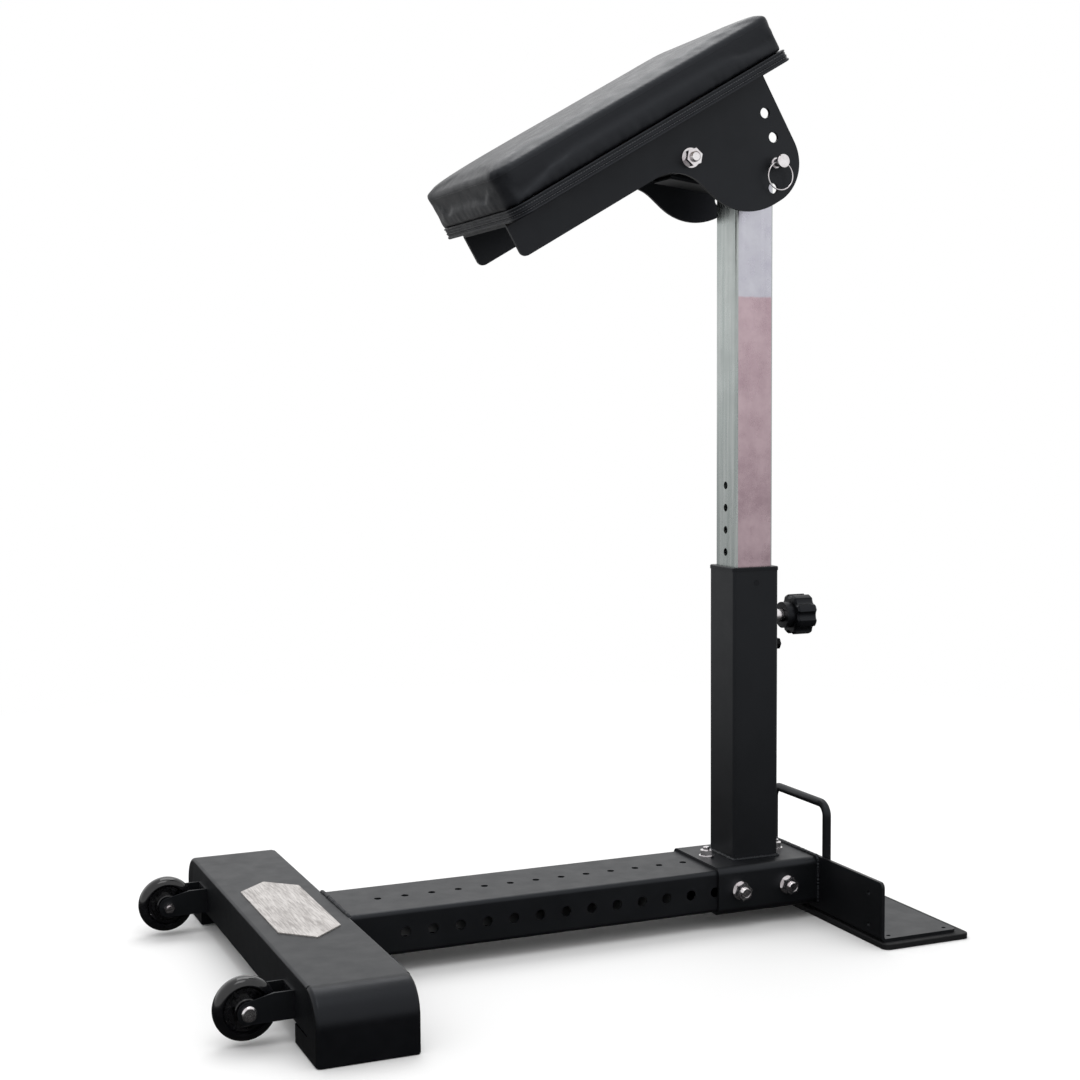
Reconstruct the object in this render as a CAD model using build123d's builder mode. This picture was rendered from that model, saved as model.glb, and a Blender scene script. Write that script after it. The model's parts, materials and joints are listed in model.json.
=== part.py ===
from build123d import *
import os
from math import cos, radians, sin

os.makedirs("parts", exist_ok=True)

# Height-adjustable support stand with a tilting pad, on a T-shaped base.
# Frame: +X runs from the wheels to the rear plate, +Z is up, Y is the mirror axis.
# The origin is on the floor, in the middle of the bounding box.

# ---------------- driving dimensions, millimetres ----------------
wheel_reach = 872.5  # post axis to the front of the wheels
mat_reach = 232.5  # post axis to the rear edge of the mat
post_x = (wheel_reach - mat_reach) / 2
hole_pitch = 40.0

# crossbar and its feet
bar_rear = post_x - 646.0
bar_depth = 130.0
bar_bottom = 25.5
bar_height = 63.0
bar_half = 324.5
bar_wall = 3.0
bar_front = bar_rear - bar_depth
bar_mid = bar_rear - bar_depth / 2
bar_top = bar_bottom + bar_height
foot_half = 366.5
foot_inner = 270.0
foot_side_height = 46.0

# main beam and the sleeve that the post stands on
beam_width = 136.0
beam_height = 62.0
beam_wall = 3.0
beam_mid_z = 57.0
beam_end = post_x + 85.0
beam_top = beam_mid_z + beam_height / 2
top_hole_r = 5.25
side_hole_r = 7.5
top_hole_last = post_x + 56.0
side_hole_last = post_x + 34.4
sleeve_front = post_x - 82.0
sleeve_rear = post_x + 88.0
sleeve_width = 145.0
sleeve_height = 71.0
sleeve_gap = 0.2
sleeve_top = beam_mid_z + sleeve_height / 2

# rear plate, mat and handle
plate = 5.0
mat_thick = 8.0
plate_top = 94.0
plate_half = 242.0
plate_rear = post_x + 217.0
mat_front = post_x + 87.0
mat_half = 253.0
floor_hole_x = (post_x + 108.0, post_x + 203.0)
floor_hole_y = 229.5
wall_hole_y = 208.0
wall_hole_z = (26.0, 72.0)
screw_hole_r = 3.25
handle_r = 6.5
handle_half = 77.5
handle_top = 172.5
handle_bend = 18.0
handle_foot = 40.0

# posts
outer_side = 76.0
outer_wall = 3.0
outer_top = 527.0
flange_top = 533.0
button_z = 509.0
inner_side = 63.0
inner_wall = 2.5
inner_bottom = 309.0
inner_top = 1156.0
cap_thick = 3.0
plug_gap = 0.4
plug_depth = 12.0
bushing_depth = 40.0
glide_thick = 8.0
glide_plug = 18.0
slot_z = 454.0
slot_pitch = 33.35
slot_r = 5.75
slot_first = -2
slot_last = 6
set_bolt_z = 411.0
set_bolt_length = 27.0
set_head = (16.0, 7.0)
set_head_x = post_x + 54.0
button_r = 4.5

# pull pin
barrel_r = 10.0
barrel_end = post_x + 76.0
plunger_r = 5.0
running_gap = 0.08
spring_bore = 7.7
spring_seat = post_x + 42.0
collar_r = 7.4
collar_thick = 4.0
spring_r = 6.4
spring_wire = 0.6
spring_pitch = 3.2
spring_turns = 7
spring_end = post_x + 72.0
tip_gap = 0.7
knob_lobes = 8
knob_wall = 7.0
knob_front = post_x + 66.0
grip_front = post_x + 79.0
knob_rear = post_x + 112.0
neck_r = 20.0
grip_r = 31.0

# pivot and tilting bracket
pivot_x = post_x - 135.0
pivot_z = 1122.0
tilt = 30.0
arc_radius = 140.0
arc_hole_r = 7.6
pin_r = 7.5
bolt14_r = 7.0
channel_half = 83.0
channel_plate = 5.0
channel_front = -295.5
channel_top = 53.5
arm_slope = -7.0
arm_width = 60.0
arm_height = 45.0
tube_r = 17.0
tube_half = 75.5
tube_bore = 10.0
arm_wall = 3.0
bush_flange = 2.0
bush_depth = 20.0

# pad
pad_front = -303.0
pad_rear = 180.0
pad_width = 290.0
front_corner = 28.0
rear_corner = 12.0
band_top = 69.5
pad_bolt_mid = -85.0
pad_bolt_grid = (290.0, 80.0)
pad_bolt_hole = 4.5
tee_barrel_r = 5.5
tee_flange_r = 11.0
tee_flange = 1.5
tee_depth = 11.0
crown_round = 12.0
cushion_inset = 2.0
band_proud = 3.0
cushion_top = 131.0

# wheels
wheel_r = 40.0
wheel_x = post_x - wheel_reach + wheel_r
wheel_y = 248.0
wheel_z = 45.5
wheel_width = 24.0
rim_r = 27.0
bearing_r = 11.0
bolt8_r = 4.0

# standard fasteners: across flats, head height, nut height
hex8 = (13.0, 5.3, 6.5)
hex10 = (17.0, 6.4, 8.0)
hex14 = (22.0, 9.0, 12.0)
washer = 2.5
thread_end = 4.0
bolt10_r = 5.0
washer14_r = 14.0
washer10_r = 11.0
washer8_r = 9.0
washer8 = 1.6
bolt_play = 0.5
top_head_r = 10.0
top_head = 5.0

# ---------------- reference planes ----------------
cos_t = cos(radians(tilt))
sin_t = sin(radians(tilt))


def tilted(n):
    """Plane parallel to the pad, n above the pivot: local x up the slope, local y = +Y."""
    origin = (pivot_x - n * sin_t, 0, pivot_z + n * cos_t)
    return Plane(origin=origin, x_dir=(cos_t, 0, sin_t), z_dir=(-sin_t, 0, cos_t))


def flank(y):
    """Plane of a bracket flank at y: local x up the slope, local y away from the post."""
    return Plane(origin=(pivot_x, y, pivot_z), x_dir=(cos_t, 0, sin_t), z_dir=(0, -1, 0))


def upright(x):
    """Plane facing +X: local x = +Y, local y = +Z."""
    return Plane.YZ.offset(x)


def facing(y):
    """Plane facing -Y at y: local x = +X, local y = +Z."""
    return Plane.XZ.offset(-y)


def pad_outline(inset):
    """Pad's plan, rounder at its lower front corners than at its upper rear ones."""
    front = pad_front + inset
    rear = pad_rear - inset
    half = pad_width / 2 - inset
    with BuildLine(Plane.XY) as plan:
        FilletPolyline((0, -half), (front, -half), (front, half), (0, half), radius=front_corner - inset)
        FilletPolyline((0, half), (rear, half), (rear, -half), (0, -half), radius=rear_corner - inset)
    return make_face(plan.edges())


def finish(piece, label):
    piece.part.label = label
    export_step(piece.part, "parts/" + label + ".step")


# ---------------- crossbar, feet and badge ----------------
with BuildPart() as crossbar:
    with BuildSketch(Plane.XZ.offset(-bar_half)):
        with Locations((bar_mid, bar_bottom + bar_height / 2)):
            RectangleRounded(bar_depth, bar_height, 4)
            RectangleRounded(bar_depth - 2 * bar_wall, bar_height - 2 * bar_wall, 2, mode=Mode.SUBTRACT)
    extrude(amount=2 * bar_half)
finish(crossbar, "crossbar")

for side, label in ((-1, "foot_left"), (1, "foot_right")):
    with BuildPart() as foot:
        with BuildSketch(upright(bar_front)):
            with BuildLine():
                Line((side * bar_half, bar_bottom), (side * bar_half, bar_top))
                EllipticalCenterArc(
                    (side * bar_half, foot_side_height),
                    foot_half - bar_half,
                    bar_top - foot_side_height,
                    start_angle=0 if side > 0 else 90,
                    arc_size=90,
                )
                Polyline(
                    (side * foot_half, foot_side_height),
                    (side * foot_half, 0),
                    (side * foot_inner, 0),
                    (side * foot_inner, bar_bottom),
                    (side * bar_half, bar_bottom),
                )
            make_face()
        extrude(amount=bar_depth)
        outer_edges = foot.edges().filter_by(Axis.Z).filter_by(lambda e: abs(e.center().Y) > foot_half - 1)
        fillet(outer_edges, 6)
        lowest = foot.faces().sort_by(Axis.Z)[0]
        chamfer(lowest.edges(), 1.5)
    finish(foot, label)

with BuildPart() as badge_plate:
    with BuildSketch(Plane.XY.offset(bar_top)):
        with BuildLine():
            Polyline(
                (bar_mid, -145.5),
                (bar_mid + 42.5, -105.5),
                (bar_mid + 42.5, 105.5),
                (bar_mid, 145.5),
                (bar_mid - 42.5, 105.5),
                (bar_mid - 42.5, -105.5),
                close=True,
            )
        make_face()
        fillet(vertices(), 3)
    extrude(amount=2)
    chamfer(badge_plate.faces().sort_by(Axis.Z)[-1].edges(), 0.6)
finish(badge_plate, "badge_plate")

# ---------------- main beam ----------------
with BuildPart() as main_beam:
    with BuildSketch(upright(bar_rear)):
        with Locations((0, beam_mid_z)):
            RectangleRounded(beam_width, beam_height, 6)
            RectangleRounded(beam_width - 2 * beam_wall, beam_height - 2 * beam_wall, 3, mode=Mode.SUBTRACT)
    extrude(amount=beam_end - bar_rear)
    with BuildSketch(Plane.XY):
        for step in range(17):
            with Locations((top_hole_last - step * hole_pitch, 0)):
                Circle(top_hole_r)
    extrude(amount=beam_top + 1, mode=Mode.SUBTRACT)
    with BuildSketch(facing(beam_width)):
        for step in range(16):
            with Locations((side_hole_last - step * hole_pitch, beam_mid_z)):
                Circle(side_hole_r)
    extrude(amount=2 * beam_width, mode=Mode.SUBTRACT)
finish(main_beam, "main_beam")

# ---------------- sleeve at the foot of the post, with its through bolts ----------------
side_bolt_x = (side_hole_last - 2 * hole_pitch, side_hole_last)
top_bolt_x = (top_hole_last - 3 * hole_pitch, top_hole_last)

with BuildPart() as base_sleeve:
    with BuildSketch(upright(sleeve_front)):
        with Locations((0, beam_mid_z)):
            RectangleRounded(sleeve_width, sleeve_height, 10)
            RectangleRounded(
                beam_width + 2 * sleeve_gap, beam_height + 2 * sleeve_gap, 6 + sleeve_gap, mode=Mode.SUBTRACT
            )
    extrude(amount=sleeve_rear - sleeve_front)
    with BuildSketch(facing(sleeve_width)):
        for x in side_bolt_x:
            with Locations((x, beam_mid_z)):
                Circle(bolt14_r + bolt_play)
    extrude(amount=2 * sleeve_width, mode=Mode.SUBTRACT)
    with BuildSketch(Plane.XY.offset(beam_mid_z)):
        for x in top_bolt_x:
            with Locations((x, 0)):
                Circle(top_hole_r)
    extrude(amount=sleeve_height, mode=Mode.SUBTRACT)
finish(base_sleeve, "base_sleeve")

sleeve_half = sleeve_width / 2
with BuildPart() as side_washers:
    for y in (sleeve_half + washer, -sleeve_half):
        with BuildSketch(facing(y)):
            for x in side_bolt_x:
                with Locations((x, beam_mid_z)):
                    Circle(washer14_r)
                    Circle(bolt14_r, mode=Mode.SUBTRACT)
        extrude(amount=washer)
finish(side_washers, "side_washers")

with BuildPart() as side_bolts:
    with BuildSketch(facing(sleeve_half + washer)):
        for x in side_bolt_x:
            with Locations((x, beam_mid_z)):
                Circle(bolt14_r)
    extrude(amount=2 * sleeve_half + 2 * washer + hex14[2] + thread_end)
    chamfer(side_bolts.faces().sort_by(Axis.Y)[0:2].edges(), 1)
    with BuildSketch(facing(sleeve_half + washer + hex14[1])):
        for x in side_bolt_x:
            with Locations((x, beam_mid_z)):
                RegularPolygon(hex14[0] / 2, 6, major_radius=False)
    extrude(amount=hex14[1])
finish(side_bolts, "side_bolts")

with BuildPart() as side_nuts:
    with BuildSketch(facing(-sleeve_half - washer)):
        for x in side_bolt_x:
            with Locations((x, beam_mid_z)):
                RegularPolygon(hex14[0] / 2, 6, major_radius=False, rotation=15)
                Circle(bolt14_r, mode=Mode.SUBTRACT)
    extrude(amount=hex14[2])
finish(side_nuts, "side_nuts")

with BuildPart() as top_bolts:
    with BuildSketch(Plane.XY.offset(beam_top - beam_wall - top_head)):
        for x in top_bolt_x:
            with Locations((x, 0)):
                Circle(top_head_r)
    extrude(amount=top_head)
    with BuildSketch(Plane.XY.offset(beam_top - beam_wall - 1)):
        for x in top_bolt_x:
            with Locations((x, 0)):
                Circle(bolt10_r)
    extrude(amount=sleeve_top - beam_top + beam_wall + 1 + washer + hex10[2] + thread_end + 1)
    chamfer(top_bolts.faces().sort_by(Axis.Z)[-2:].edges(), 1)
finish(top_bolts, "top_bolts")

with BuildPart() as top_washers:
    with BuildSketch(Plane.XY.offset(sleeve_top)):
        for x in top_bolt_x:
            with Locations((x, 0)):
                Circle(washer10_r)
                Circle(bolt10_r, mode=Mode.SUBTRACT)
    extrude(amount=washer)
finish(top_washers, "top_washers")

with BuildPart() as top_nuts:
    with BuildSketch(Plane.XY.offset(sleeve_top + washer)):
        for x in top_bolt_x:
            with Locations((x, 0)):
                RegularPolygon(hex10[0] / 2, 6, major_radius=False)
                Circle(bolt10_r, mode=Mode.SUBTRACT)
    extrude(amount=hex10[2])
finish(top_nuts, "top_nuts")

# ---------------- rear plate, mat and carry handle ----------------
with BuildPart() as rear_plate:
    with BuildSketch(facing(plate_half)):
        with BuildLine():
            FilletPolyline(
                (sleeve_rear, plate_top), (sleeve_rear, mat_thick), (plate_rear, mat_thick), radius=8
            )
            Line((plate_rear, mat_thick), (plate_rear, mat_thick + plate))
            FilletPolyline(
                (plate_rear, mat_thick + plate),
                (sleeve_rear + plate, mat_thick + plate),
                (sleeve_rear + plate, plate_top),
                radius=3,
            )
            Line((sleeve_rear + plate, plate_top), (sleeve_rear, plate_top))
        make_face()
    extrude(amount=2 * plate_half)
    fillet(rear_plate.edges().filter_by(Axis.X).group_by(Axis.Z)[-1], 8)
    fillet(rear_plate.edges().filter_by(Axis.Z).group_by(Axis.X)[-1], 8)
    with BuildSketch(Plane.XY):
        for x in floor_hole_x:
            for y in (-floor_hole_y, floor_hole_y):
                with Locations((x, y)):
                    Circle(screw_hole_r)
    extrude(amount=mat_thick + plate + 1, mode=Mode.SUBTRACT)
    with BuildSketch(upright(sleeve_rear - 1)):
        for z in wall_hole_z:
            for y in (-wall_hole_y, wall_hole_y):
                with Locations((y, z)):
                    Circle(screw_hole_r)
    extrude(amount=plate + 2, mode=Mode.SUBTRACT)
finish(rear_plate, "rear_plate")

with BuildPart() as base_mat:
    with BuildSketch(Plane.XY):
        with Locations(((mat_front + post_x + mat_reach) / 2, 0)):
            RectangleRounded(post_x + mat_reach - mat_front, 2 * mat_half, 10)
        for x in floor_hole_x:
            for y in (-floor_hole_y, floor_hole_y):
                with Locations((x, y)):
                    Circle(screw_hole_r, mode=Mode.SUBTRACT)
    extrude(amount=mat_thick)
    chamfer(base_mat.faces().sort_by(Axis.Z)[-1].outer_wire().edges(), 1)
finish(base_mat, "base_mat")

handle_x = sleeve_rear + plate + handle_r
with BuildPart() as carry_handle:
    with BuildLine(upright(handle_x)):
        FilletPolyline(
            (-handle_half, handle_foot),
            (-handle_half, handle_top),
            (handle_half, handle_top),
            (handle_half, handle_foot),
            radius=handle_bend,
        )
    with BuildSketch(Plane.XY.offset(handle_foot)):
        with Locations((handle_x, -handle_half)):
            Circle(handle_r)
    sweep()
finish(carry_handle, "carry_handle")

# ---------------- outer post with its bushing ----------------
outer_half = outer_side / 2
inner_half = inner_side / 2
inner_bore = inner_side - 2 * inner_wall
cavity_side = outer_side - 2 * outer_wall

with BuildPart() as outer_post:
    with BuildSketch(Plane.XY.offset(sleeve_top)):
        with Locations((post_x, 0)):
            RectangleRounded(outer_side, outer_side, 5)
            RectangleRounded(cavity_side, cavity_side, 2.5, mode=Mode.SUBTRACT)
    extrude(amount=outer_top - sleeve_top)
    with BuildSketch(upright(post_x)):
        with Locations((0, slot_z)):
            Circle(barrel_r)
        with Locations((0, set_bolt_z)):
            Circle(bolt10_r)
    extrude(amount=outer_side, mode=Mode.SUBTRACT)
    with BuildSketch(facing(outer_side)):
        with Locations((post_x, button_z)):
            Circle(button_r)
    extrude(amount=2 * outer_side, mode=Mode.SUBTRACT)
finish(outer_post, "outer_post")

bushing_bore = inner_side + 0.6
with BuildPart() as post_bushing:
    with BuildSketch(Plane.XY.offset(outer_top)):
        with Locations((post_x, 0)):
            RectangleRounded(outer_side + 2, outer_side + 2, 6)
    extrude(amount=flange_top - outer_top)
    chamfer(post_bushing.faces().sort_by(Axis.Z)[-1].edges(), 1.2)
    with BuildSketch(Plane.XY.offset(outer_top - bushing_depth)):
        with Locations((post_x, 0)):
            RectangleRounded(cavity_side - 0.2, cavity_side - 0.2, 2.4)
    extrude(amount=bushing_depth)
    with BuildSketch(facing(outer_half)):
        with Locations((post_x, button_z)):
            Circle(button_r - 0.2)
    extrude(amount=outer_side)
    with BuildSketch(Plane.XY.offset(outer_top - bushing_depth - 1)):
        with Locations((post_x, 0)):
            RectangleRounded(bushing_bore, bushing_bore, 5.3)
    extrude(amount=bushing_depth + 20, mode=Mode.SUBTRACT)
finish(post_bushing, "post_bushing")

# ---------------- pull pin: threaded barrel, plunger, spring and knob ----------------
with BuildPart() as pin_barrel:
    with BuildSketch(upright(post_x + outer_half - outer_wall + 0.3)):
        with Locations((0, slot_z)):
            Circle(barrel_r)
    extrude(amount=barrel_end - post_x - outer_half + outer_wall - 0.3)
    with BuildSketch(upright(post_x + outer_half)):
        with Locations((0, slot_z)):
            RegularPolygon(13, 6, major_radius=False)
    extrude(amount=8)
    with BuildSketch(upright(post_x)):
        with Locations((0, slot_z)):
            Circle(plunger_r + running_gap)
    extrude(amount=100, mode=Mode.SUBTRACT)
    with BuildSketch(upright(spring_seat)):
        with Locations((0, slot_z)):
            Circle(spring_bore)
    extrude(amount=spring_end - spring_seat, mode=Mode.SUBTRACT)
finish(pin_barrel, "pin_barrel")

with BuildPart() as plunger:
    with BuildSketch(upright(post_x + inner_half + tip_gap)):
        with Locations((0, slot_z)):
            Circle(plunger_r)
    extrude(amount=knob_rear - knob_wall - 1 - post_x - inner_half - tip_gap)
    chamfer(plunger.faces().sort_by(Axis.X)[0].edges(), 1)
    with BuildSketch(upright(spring_seat + 1)):
        with Locations((0, slot_z)):
            Circle(collar_r)
    extrude(amount=collar_thick)
finish(plunger, "plunger")

with BuildPart() as plunger_spring:
    with BuildLine() as coil:
        Helix(
            pitch=spring_pitch,
            height=spring_pitch * spring_turns,
            radius=spring_r,
            center=(spring_seat + collar_thick + 2.3, 0, slot_z),
            direction=(1, 0, 0),
        )
    with BuildSketch(Plane(origin=coil.line @ 0, z_dir=coil.line % 0)):
        Circle(spring_wire)
    sweep(path=coil.line, is_frenet=True)
finish(plunger_spring, "plunger_spring")

with BuildPart() as knob:
    with BuildSketch(upright(knob_front)):
        with Locations((0, slot_z)):
            Circle(neck_r)
    extrude(amount=grip_front - knob_front + 1)
    with BuildSketch(upright(grip_front)):
        with Locations((0, slot_z)):
            Circle(grip_r)
            with PolarLocations(grip_r + 5, knob_lobes):
                Circle(9, mode=Mode.SUBTRACT)
    extrude(amount=knob_rear - grip_front)
    rear_face = knob.faces().sort_by(Axis.X)[-1]
    chamfer(rear_face.edges(), 3)
    grip_face = knob.faces().filter_by(Axis.X).sort_by(Axis.X)[1]
    chamfer(grip_face.outer_wire().edges(), 3)
    with BuildSketch(upright(knob_front)):
        with Locations((0, slot_z)):
            Circle(barrel_r + 0.8)
    extrude(amount=barrel_end + 14 - knob_front, mode=Mode.SUBTRACT)
    with BuildSketch(upright(knob_front)):
        with Locations((0, slot_z)):
            Circle(plunger_r + running_gap)
    extrude(amount=knob_rear - knob_wall - knob_front, mode=Mode.SUBTRACT)
finish(knob, "knob")

with BuildPart() as set_bolt:
    with BuildSketch(upright(post_x + inner_half + 1.5)):
        with Locations((0, set_bolt_z)):
            Circle(bolt10_r)
    extrude(amount=set_bolt_length)
    with BuildSketch(upright(set_head_x)):
        with Locations((0, set_bolt_z)):
            RegularPolygon(set_head[0] / 2, 6, major_radius=False)
    extrude(amount=set_head[1])
    chamfer(set_bolt.faces().sort_by(Axis.X)[-1].edges(), 1)
finish(set_bolt, "set_bolt")

with BuildPart() as set_nut:
    with BuildSketch(upright(post_x + outer_half)):
        with Locations((0, set_bolt_z)):
            RegularPolygon(hex10[0] / 2, 6, major_radius=False)
            Circle(bolt10_r, mode=Mode.SUBTRACT)
    extrude(amount=hex10[2])
finish(set_nut, "set_nut")

# ---------------- inner post ----------------
with BuildPart() as inner_post:
    with BuildSketch(Plane.XY.offset(inner_bottom)):
        with Locations((post_x, 0)):
            RectangleRounded(inner_side, inner_side, 5)
            RectangleRounded(inner_bore, inner_bore, 2.5, mode=Mode.SUBTRACT)
    extrude(amount=inner_top - inner_bottom)
    with BuildSketch(upright(post_x - inner_side)):
        for step in range(slot_first, slot_last + 1):
            with Locations((0, slot_z + step * slot_pitch)):
                Circle(slot_r)
    extrude(amount=2 * inner_side, mode=Mode.SUBTRACT)
    with BuildSketch(facing(inner_side)):
        with Locations((pivot_x + arc_radius, pivot_z)):
            Circle(arc_hole_r)
    extrude(amount=2 * inner_side, mode=Mode.SUBTRACT)
finish(inner_post, "inner_post")

plug_side = inner_bore - plug_gap
with BuildPart() as inner_post_cap:
    with BuildSketch(Plane.XY.offset(inner_top)):
        with Locations((post_x, 0)):
            RectangleRounded(inner_side, inner_side, 5)
    extrude(amount=cap_thick)
    chamfer(inner_post_cap.faces().sort_by(Axis.Z)[-1].edges(), 1.5)
    with BuildSketch(Plane.XY.offset(inner_top - plug_depth)):
        with Locations((post_x, 0)):
            RectangleRounded(plug_side, plug_side, 2.2)
    extrude(amount=plug_depth)
finish(inner_post_cap, "inner_post_cap")

glide_side = cavity_side - 2 * plug_gap
with BuildPart() as post_glide:
    with BuildSketch(Plane.XY.offset(inner_bottom - glide_thick)):
        with Locations((post_x, 0)):
            RectangleRounded(glide_side, glide_side, 2.2)
    extrude(amount=glide_thick)
    chamfer(post_glide.faces().sort_by(Axis.Z)[0].edges(), 1)
    with BuildSketch(Plane.XY.offset(inner_bottom)):
        with Locations((post_x, 0)):
            RectangleRounded(plug_side, plug_side, 2.2)
    extrude(amount=glide_plug)
finish(post_glide, "post_glide")

# ---------------- arm and cross tube that carry the pivot ----------------
slope = radians(arm_slope)
arm_plane = Plane(origin=(pivot_x, 0, pivot_z), x_dir=(0, 1, 0), z_dir=(cos(slope), 0, sin(slope)))
with BuildPart() as pivot_arm:
    with BuildSketch(arm_plane):
        RectangleRounded(arm_width, arm_height, 5)
        RectangleRounded(arm_width - 2 * arm_wall, arm_height - 2 * arm_wall, 2.5, mode=Mode.SUBTRACT)
    extrude(amount=160)
    split(bisect_by=Plane.YZ.offset(post_x - inner_half), keep=Keep.BOTTOM)
    with BuildSketch(facing(arm_width)):
        with Locations((pivot_x, pivot_z)):
            Circle(tube_r)
    extrude(amount=2 * arm_width, mode=Mode.SUBTRACT)
finish(pivot_arm, "pivot_arm")

with BuildPart() as pivot_tube:
    with BuildSketch(facing(tube_half)):
        with Locations((pivot_x, pivot_z)):
            Circle(tube_r)
            Circle(tube_bore, mode=Mode.SUBTRACT)
    extrude(amount=2 * tube_half)
finish(pivot_tube, "pivot_tube")

with BuildPart() as pivot_bushes:
    for start in (tube_half + bush_flange, -tube_half):
        with BuildSketch(facing(start)):
            with Locations((pivot_x, pivot_z)):
                Circle(washer14_r)
        extrude(amount=bush_flange)
    for start in (tube_half, bush_depth - tube_half):
        with BuildSketch(facing(start)):
            with Locations((pivot_x, pivot_z)):
                Circle(tube_bore)
        extrude(amount=bush_depth)
    with BuildSketch(facing(100)):
        with Locations((pivot_x, pivot_z)):
            Circle(bolt14_r + running_gap)
    extrude(amount=200, mode=Mode.SUBTRACT)
finish(pivot_bushes, "pivot_bushes")

# ---------------- tilting bracket: one folded plate with two lobed flanks ----------------
notch_r = 62.6
lobe_r = 89.6
corner_r = 62.3
lobe_turn = 70.0
lobe_drop = 119.9
notch_start = -60.3
flat_length = 11.0
turn = radians(lobe_turn)
neck_length = (lobe_drop - (notch_r + lobe_r) * (1 - cos(turn))) / sin(turn)
web_rise = channel_top - channel_plate

with BuildPart() as pad_bracket:
    with BuildSketch(flank(channel_half)):
        with BuildLine():
            front = Line((channel_front, channel_top), (channel_front, 10))
            nose = JernArc(front @ 1, (0, -1), 10, 90)
            underside = Line(nose @ 1, (notch_start, 0))
            notch = JernArc(underside @ 1, (1, 0), notch_r, -lobe_turn)
            neck = PolarLine(notch @ 1, neck_length, angle=-lobe_turn)
            belly = JernArc(neck @ 1, (cos(turn), -sin(turn)), lobe_r, lobe_turn)
            flat = PolarLine(belly @ 1, flat_length, angle=0)
            corner = JernArc(flat @ 1, (1, 0), corner_r, 90)
            back = Line(corner @ 1, (corner.position_at(1).X, channel_top))
            Line(back @ 1, front @ 0)
        make_face()
        for step in range(4):
            angle = radians(-15 * step)
            with Locations((arc_radius * cos(angle), arc_radius * sin(angle))):
                Circle(arc_hole_r, mode=Mode.SUBTRACT)
        Circle(bolt14_r + 0.1, mode=Mode.SUBTRACT)
    extrude(amount=2 * channel_half)
    with BuildSketch(tilted(web_rise)):
        Rectangle(900, 2 * (channel_half - channel_plate))
    extrude(amount=-300, mode=Mode.SUBTRACT)
    long_edges = pad_bracket.edges().filter_by(lambda e: e.length > 400)
    outer_bends = long_edges.filter_by(lambda e: abs(e.center().Y) > channel_half - 1)
    fillet(outer_bends.sort_by(Axis.Z)[-2:], 6)
    with BuildSketch(tilted(web_rise - 1)):
        with Locations((pad_bolt_mid, 0)):
            with GridLocations(*pad_bolt_grid, 2, 2):
                Circle(pad_bolt_hole)
    extrude(amount=channel_plate + 2, mode=Mode.SUBTRACT)
finish(pad_bracket, "pad_bracket")

with BuildPart() as pivot_bolt:
    with BuildSketch(facing(channel_half + washer)):
        with Locations((pivot_x, pivot_z)):
            Circle(bolt14_r)
    extrude(amount=2 * channel_half + 2 * washer + hex14[2] + thread_end)
    chamfer(pivot_bolt.faces().sort_by(Axis.Y)[0].edges(), 1.2)
    with BuildSketch(facing(channel_half + washer + hex14[1])):
        with Locations((pivot_x, pivot_z)):
            RegularPolygon(hex14[0] / 2, 6, major_radius=False)
    extrude(amount=hex14[1])
finish(pivot_bolt, "pivot_bolt")

with BuildPart() as pivot_washers:
    for y in (channel_half + washer, -channel_half):
        with BuildSketch(facing(y)):
            with Locations((pivot_x, pivot_z)):
                Circle(washer14_r)
                Circle(bolt14_r, mode=Mode.SUBTRACT)
        extrude(amount=washer)
finish(pivot_washers, "pivot_washers")

with BuildPart() as pivot_nut:
    with BuildSketch(facing(-channel_half - washer)):
        with Locations((pivot_x, pivot_z)):
            RegularPolygon(hex14[0] / 2, 6, major_radius=False, rotation=20)
            Circle(bolt14_r, mode=Mode.SUBTRACT)
    extrude(amount=hex14[2])
finish(pivot_nut, "pivot_nut")

# ---------------- lock pin and its pull ring ----------------
pin_x = pivot_x + arc_radius
pin_inner = -inner_half - 1.5
ring_y = -channel_half - 12
ring_r = 20.0
wire_r = 1.0
ring_lift = 0.45
pin_neck_r = 6.0
head_r = 9.75
head_thick = 4.5
pin_neck = 17.0
neck_outer = -channel_half - pin_neck
with BuildPart() as lock_pin:
    with BuildSketch(facing(pin_inner)):
        with Locations((pin_x, pivot_z)):
            Circle(pin_r)
    extrude(amount=channel_half + pin_inner)
    chamfer(lock_pin.faces().sort_by(Axis.Y)[-1].edges(), 1.5)
    with BuildSketch(facing(-channel_half)):
        with Locations((pin_x, pivot_z)):
            Circle(pin_neck_r)
    extrude(amount=pin_neck)
    with BuildSketch(facing(neck_outer)):
        with Locations((pin_x, pivot_z)):
            Circle(head_r)
    extrude(amount=head_thick)
    chamfer(lock_pin.faces().sort_by(Axis.Y)[0].edges(), 0.8)
    with BuildSketch(upright(pin_x - 10)):
        with Locations((ring_y, pivot_z - ring_lift)):
            Circle(2)
    extrude(amount=20, mode=Mode.SUBTRACT)
finish(lock_pin, "lock_pin")

with BuildPart() as lock_ring:
    with BuildSketch(upright(pin_x)):
        with Locations((ring_y, pivot_z)):
            Circle(wire_r)
    revolve(axis=Axis((pin_x, ring_y, pivot_z - ring_r), (0, 1, 0)), revolution_arc=360)
finish(lock_ring, "lock_ring")

# ---------------- pad: board, edge band and cushion ----------------
with BuildPart() as pad_board:
    with BuildSketch(tilted(channel_top)):
        pad_outline(band_proud)
        with Locations((pad_bolt_mid, 0)):
            with GridLocations(*pad_bolt_grid, 2, 2):
                Circle(tee_barrel_r, mode=Mode.SUBTRACT)
    extrude(amount=band_top - channel_top)
    with BuildSketch(tilted(band_top)):
        with Locations((pad_bolt_mid, 0)):
            with GridLocations(*pad_bolt_grid, 2, 2):
                Circle(tee_flange_r)
    extrude(amount=-tee_flange, mode=Mode.SUBTRACT)
finish(pad_board, "pad_board")

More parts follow.
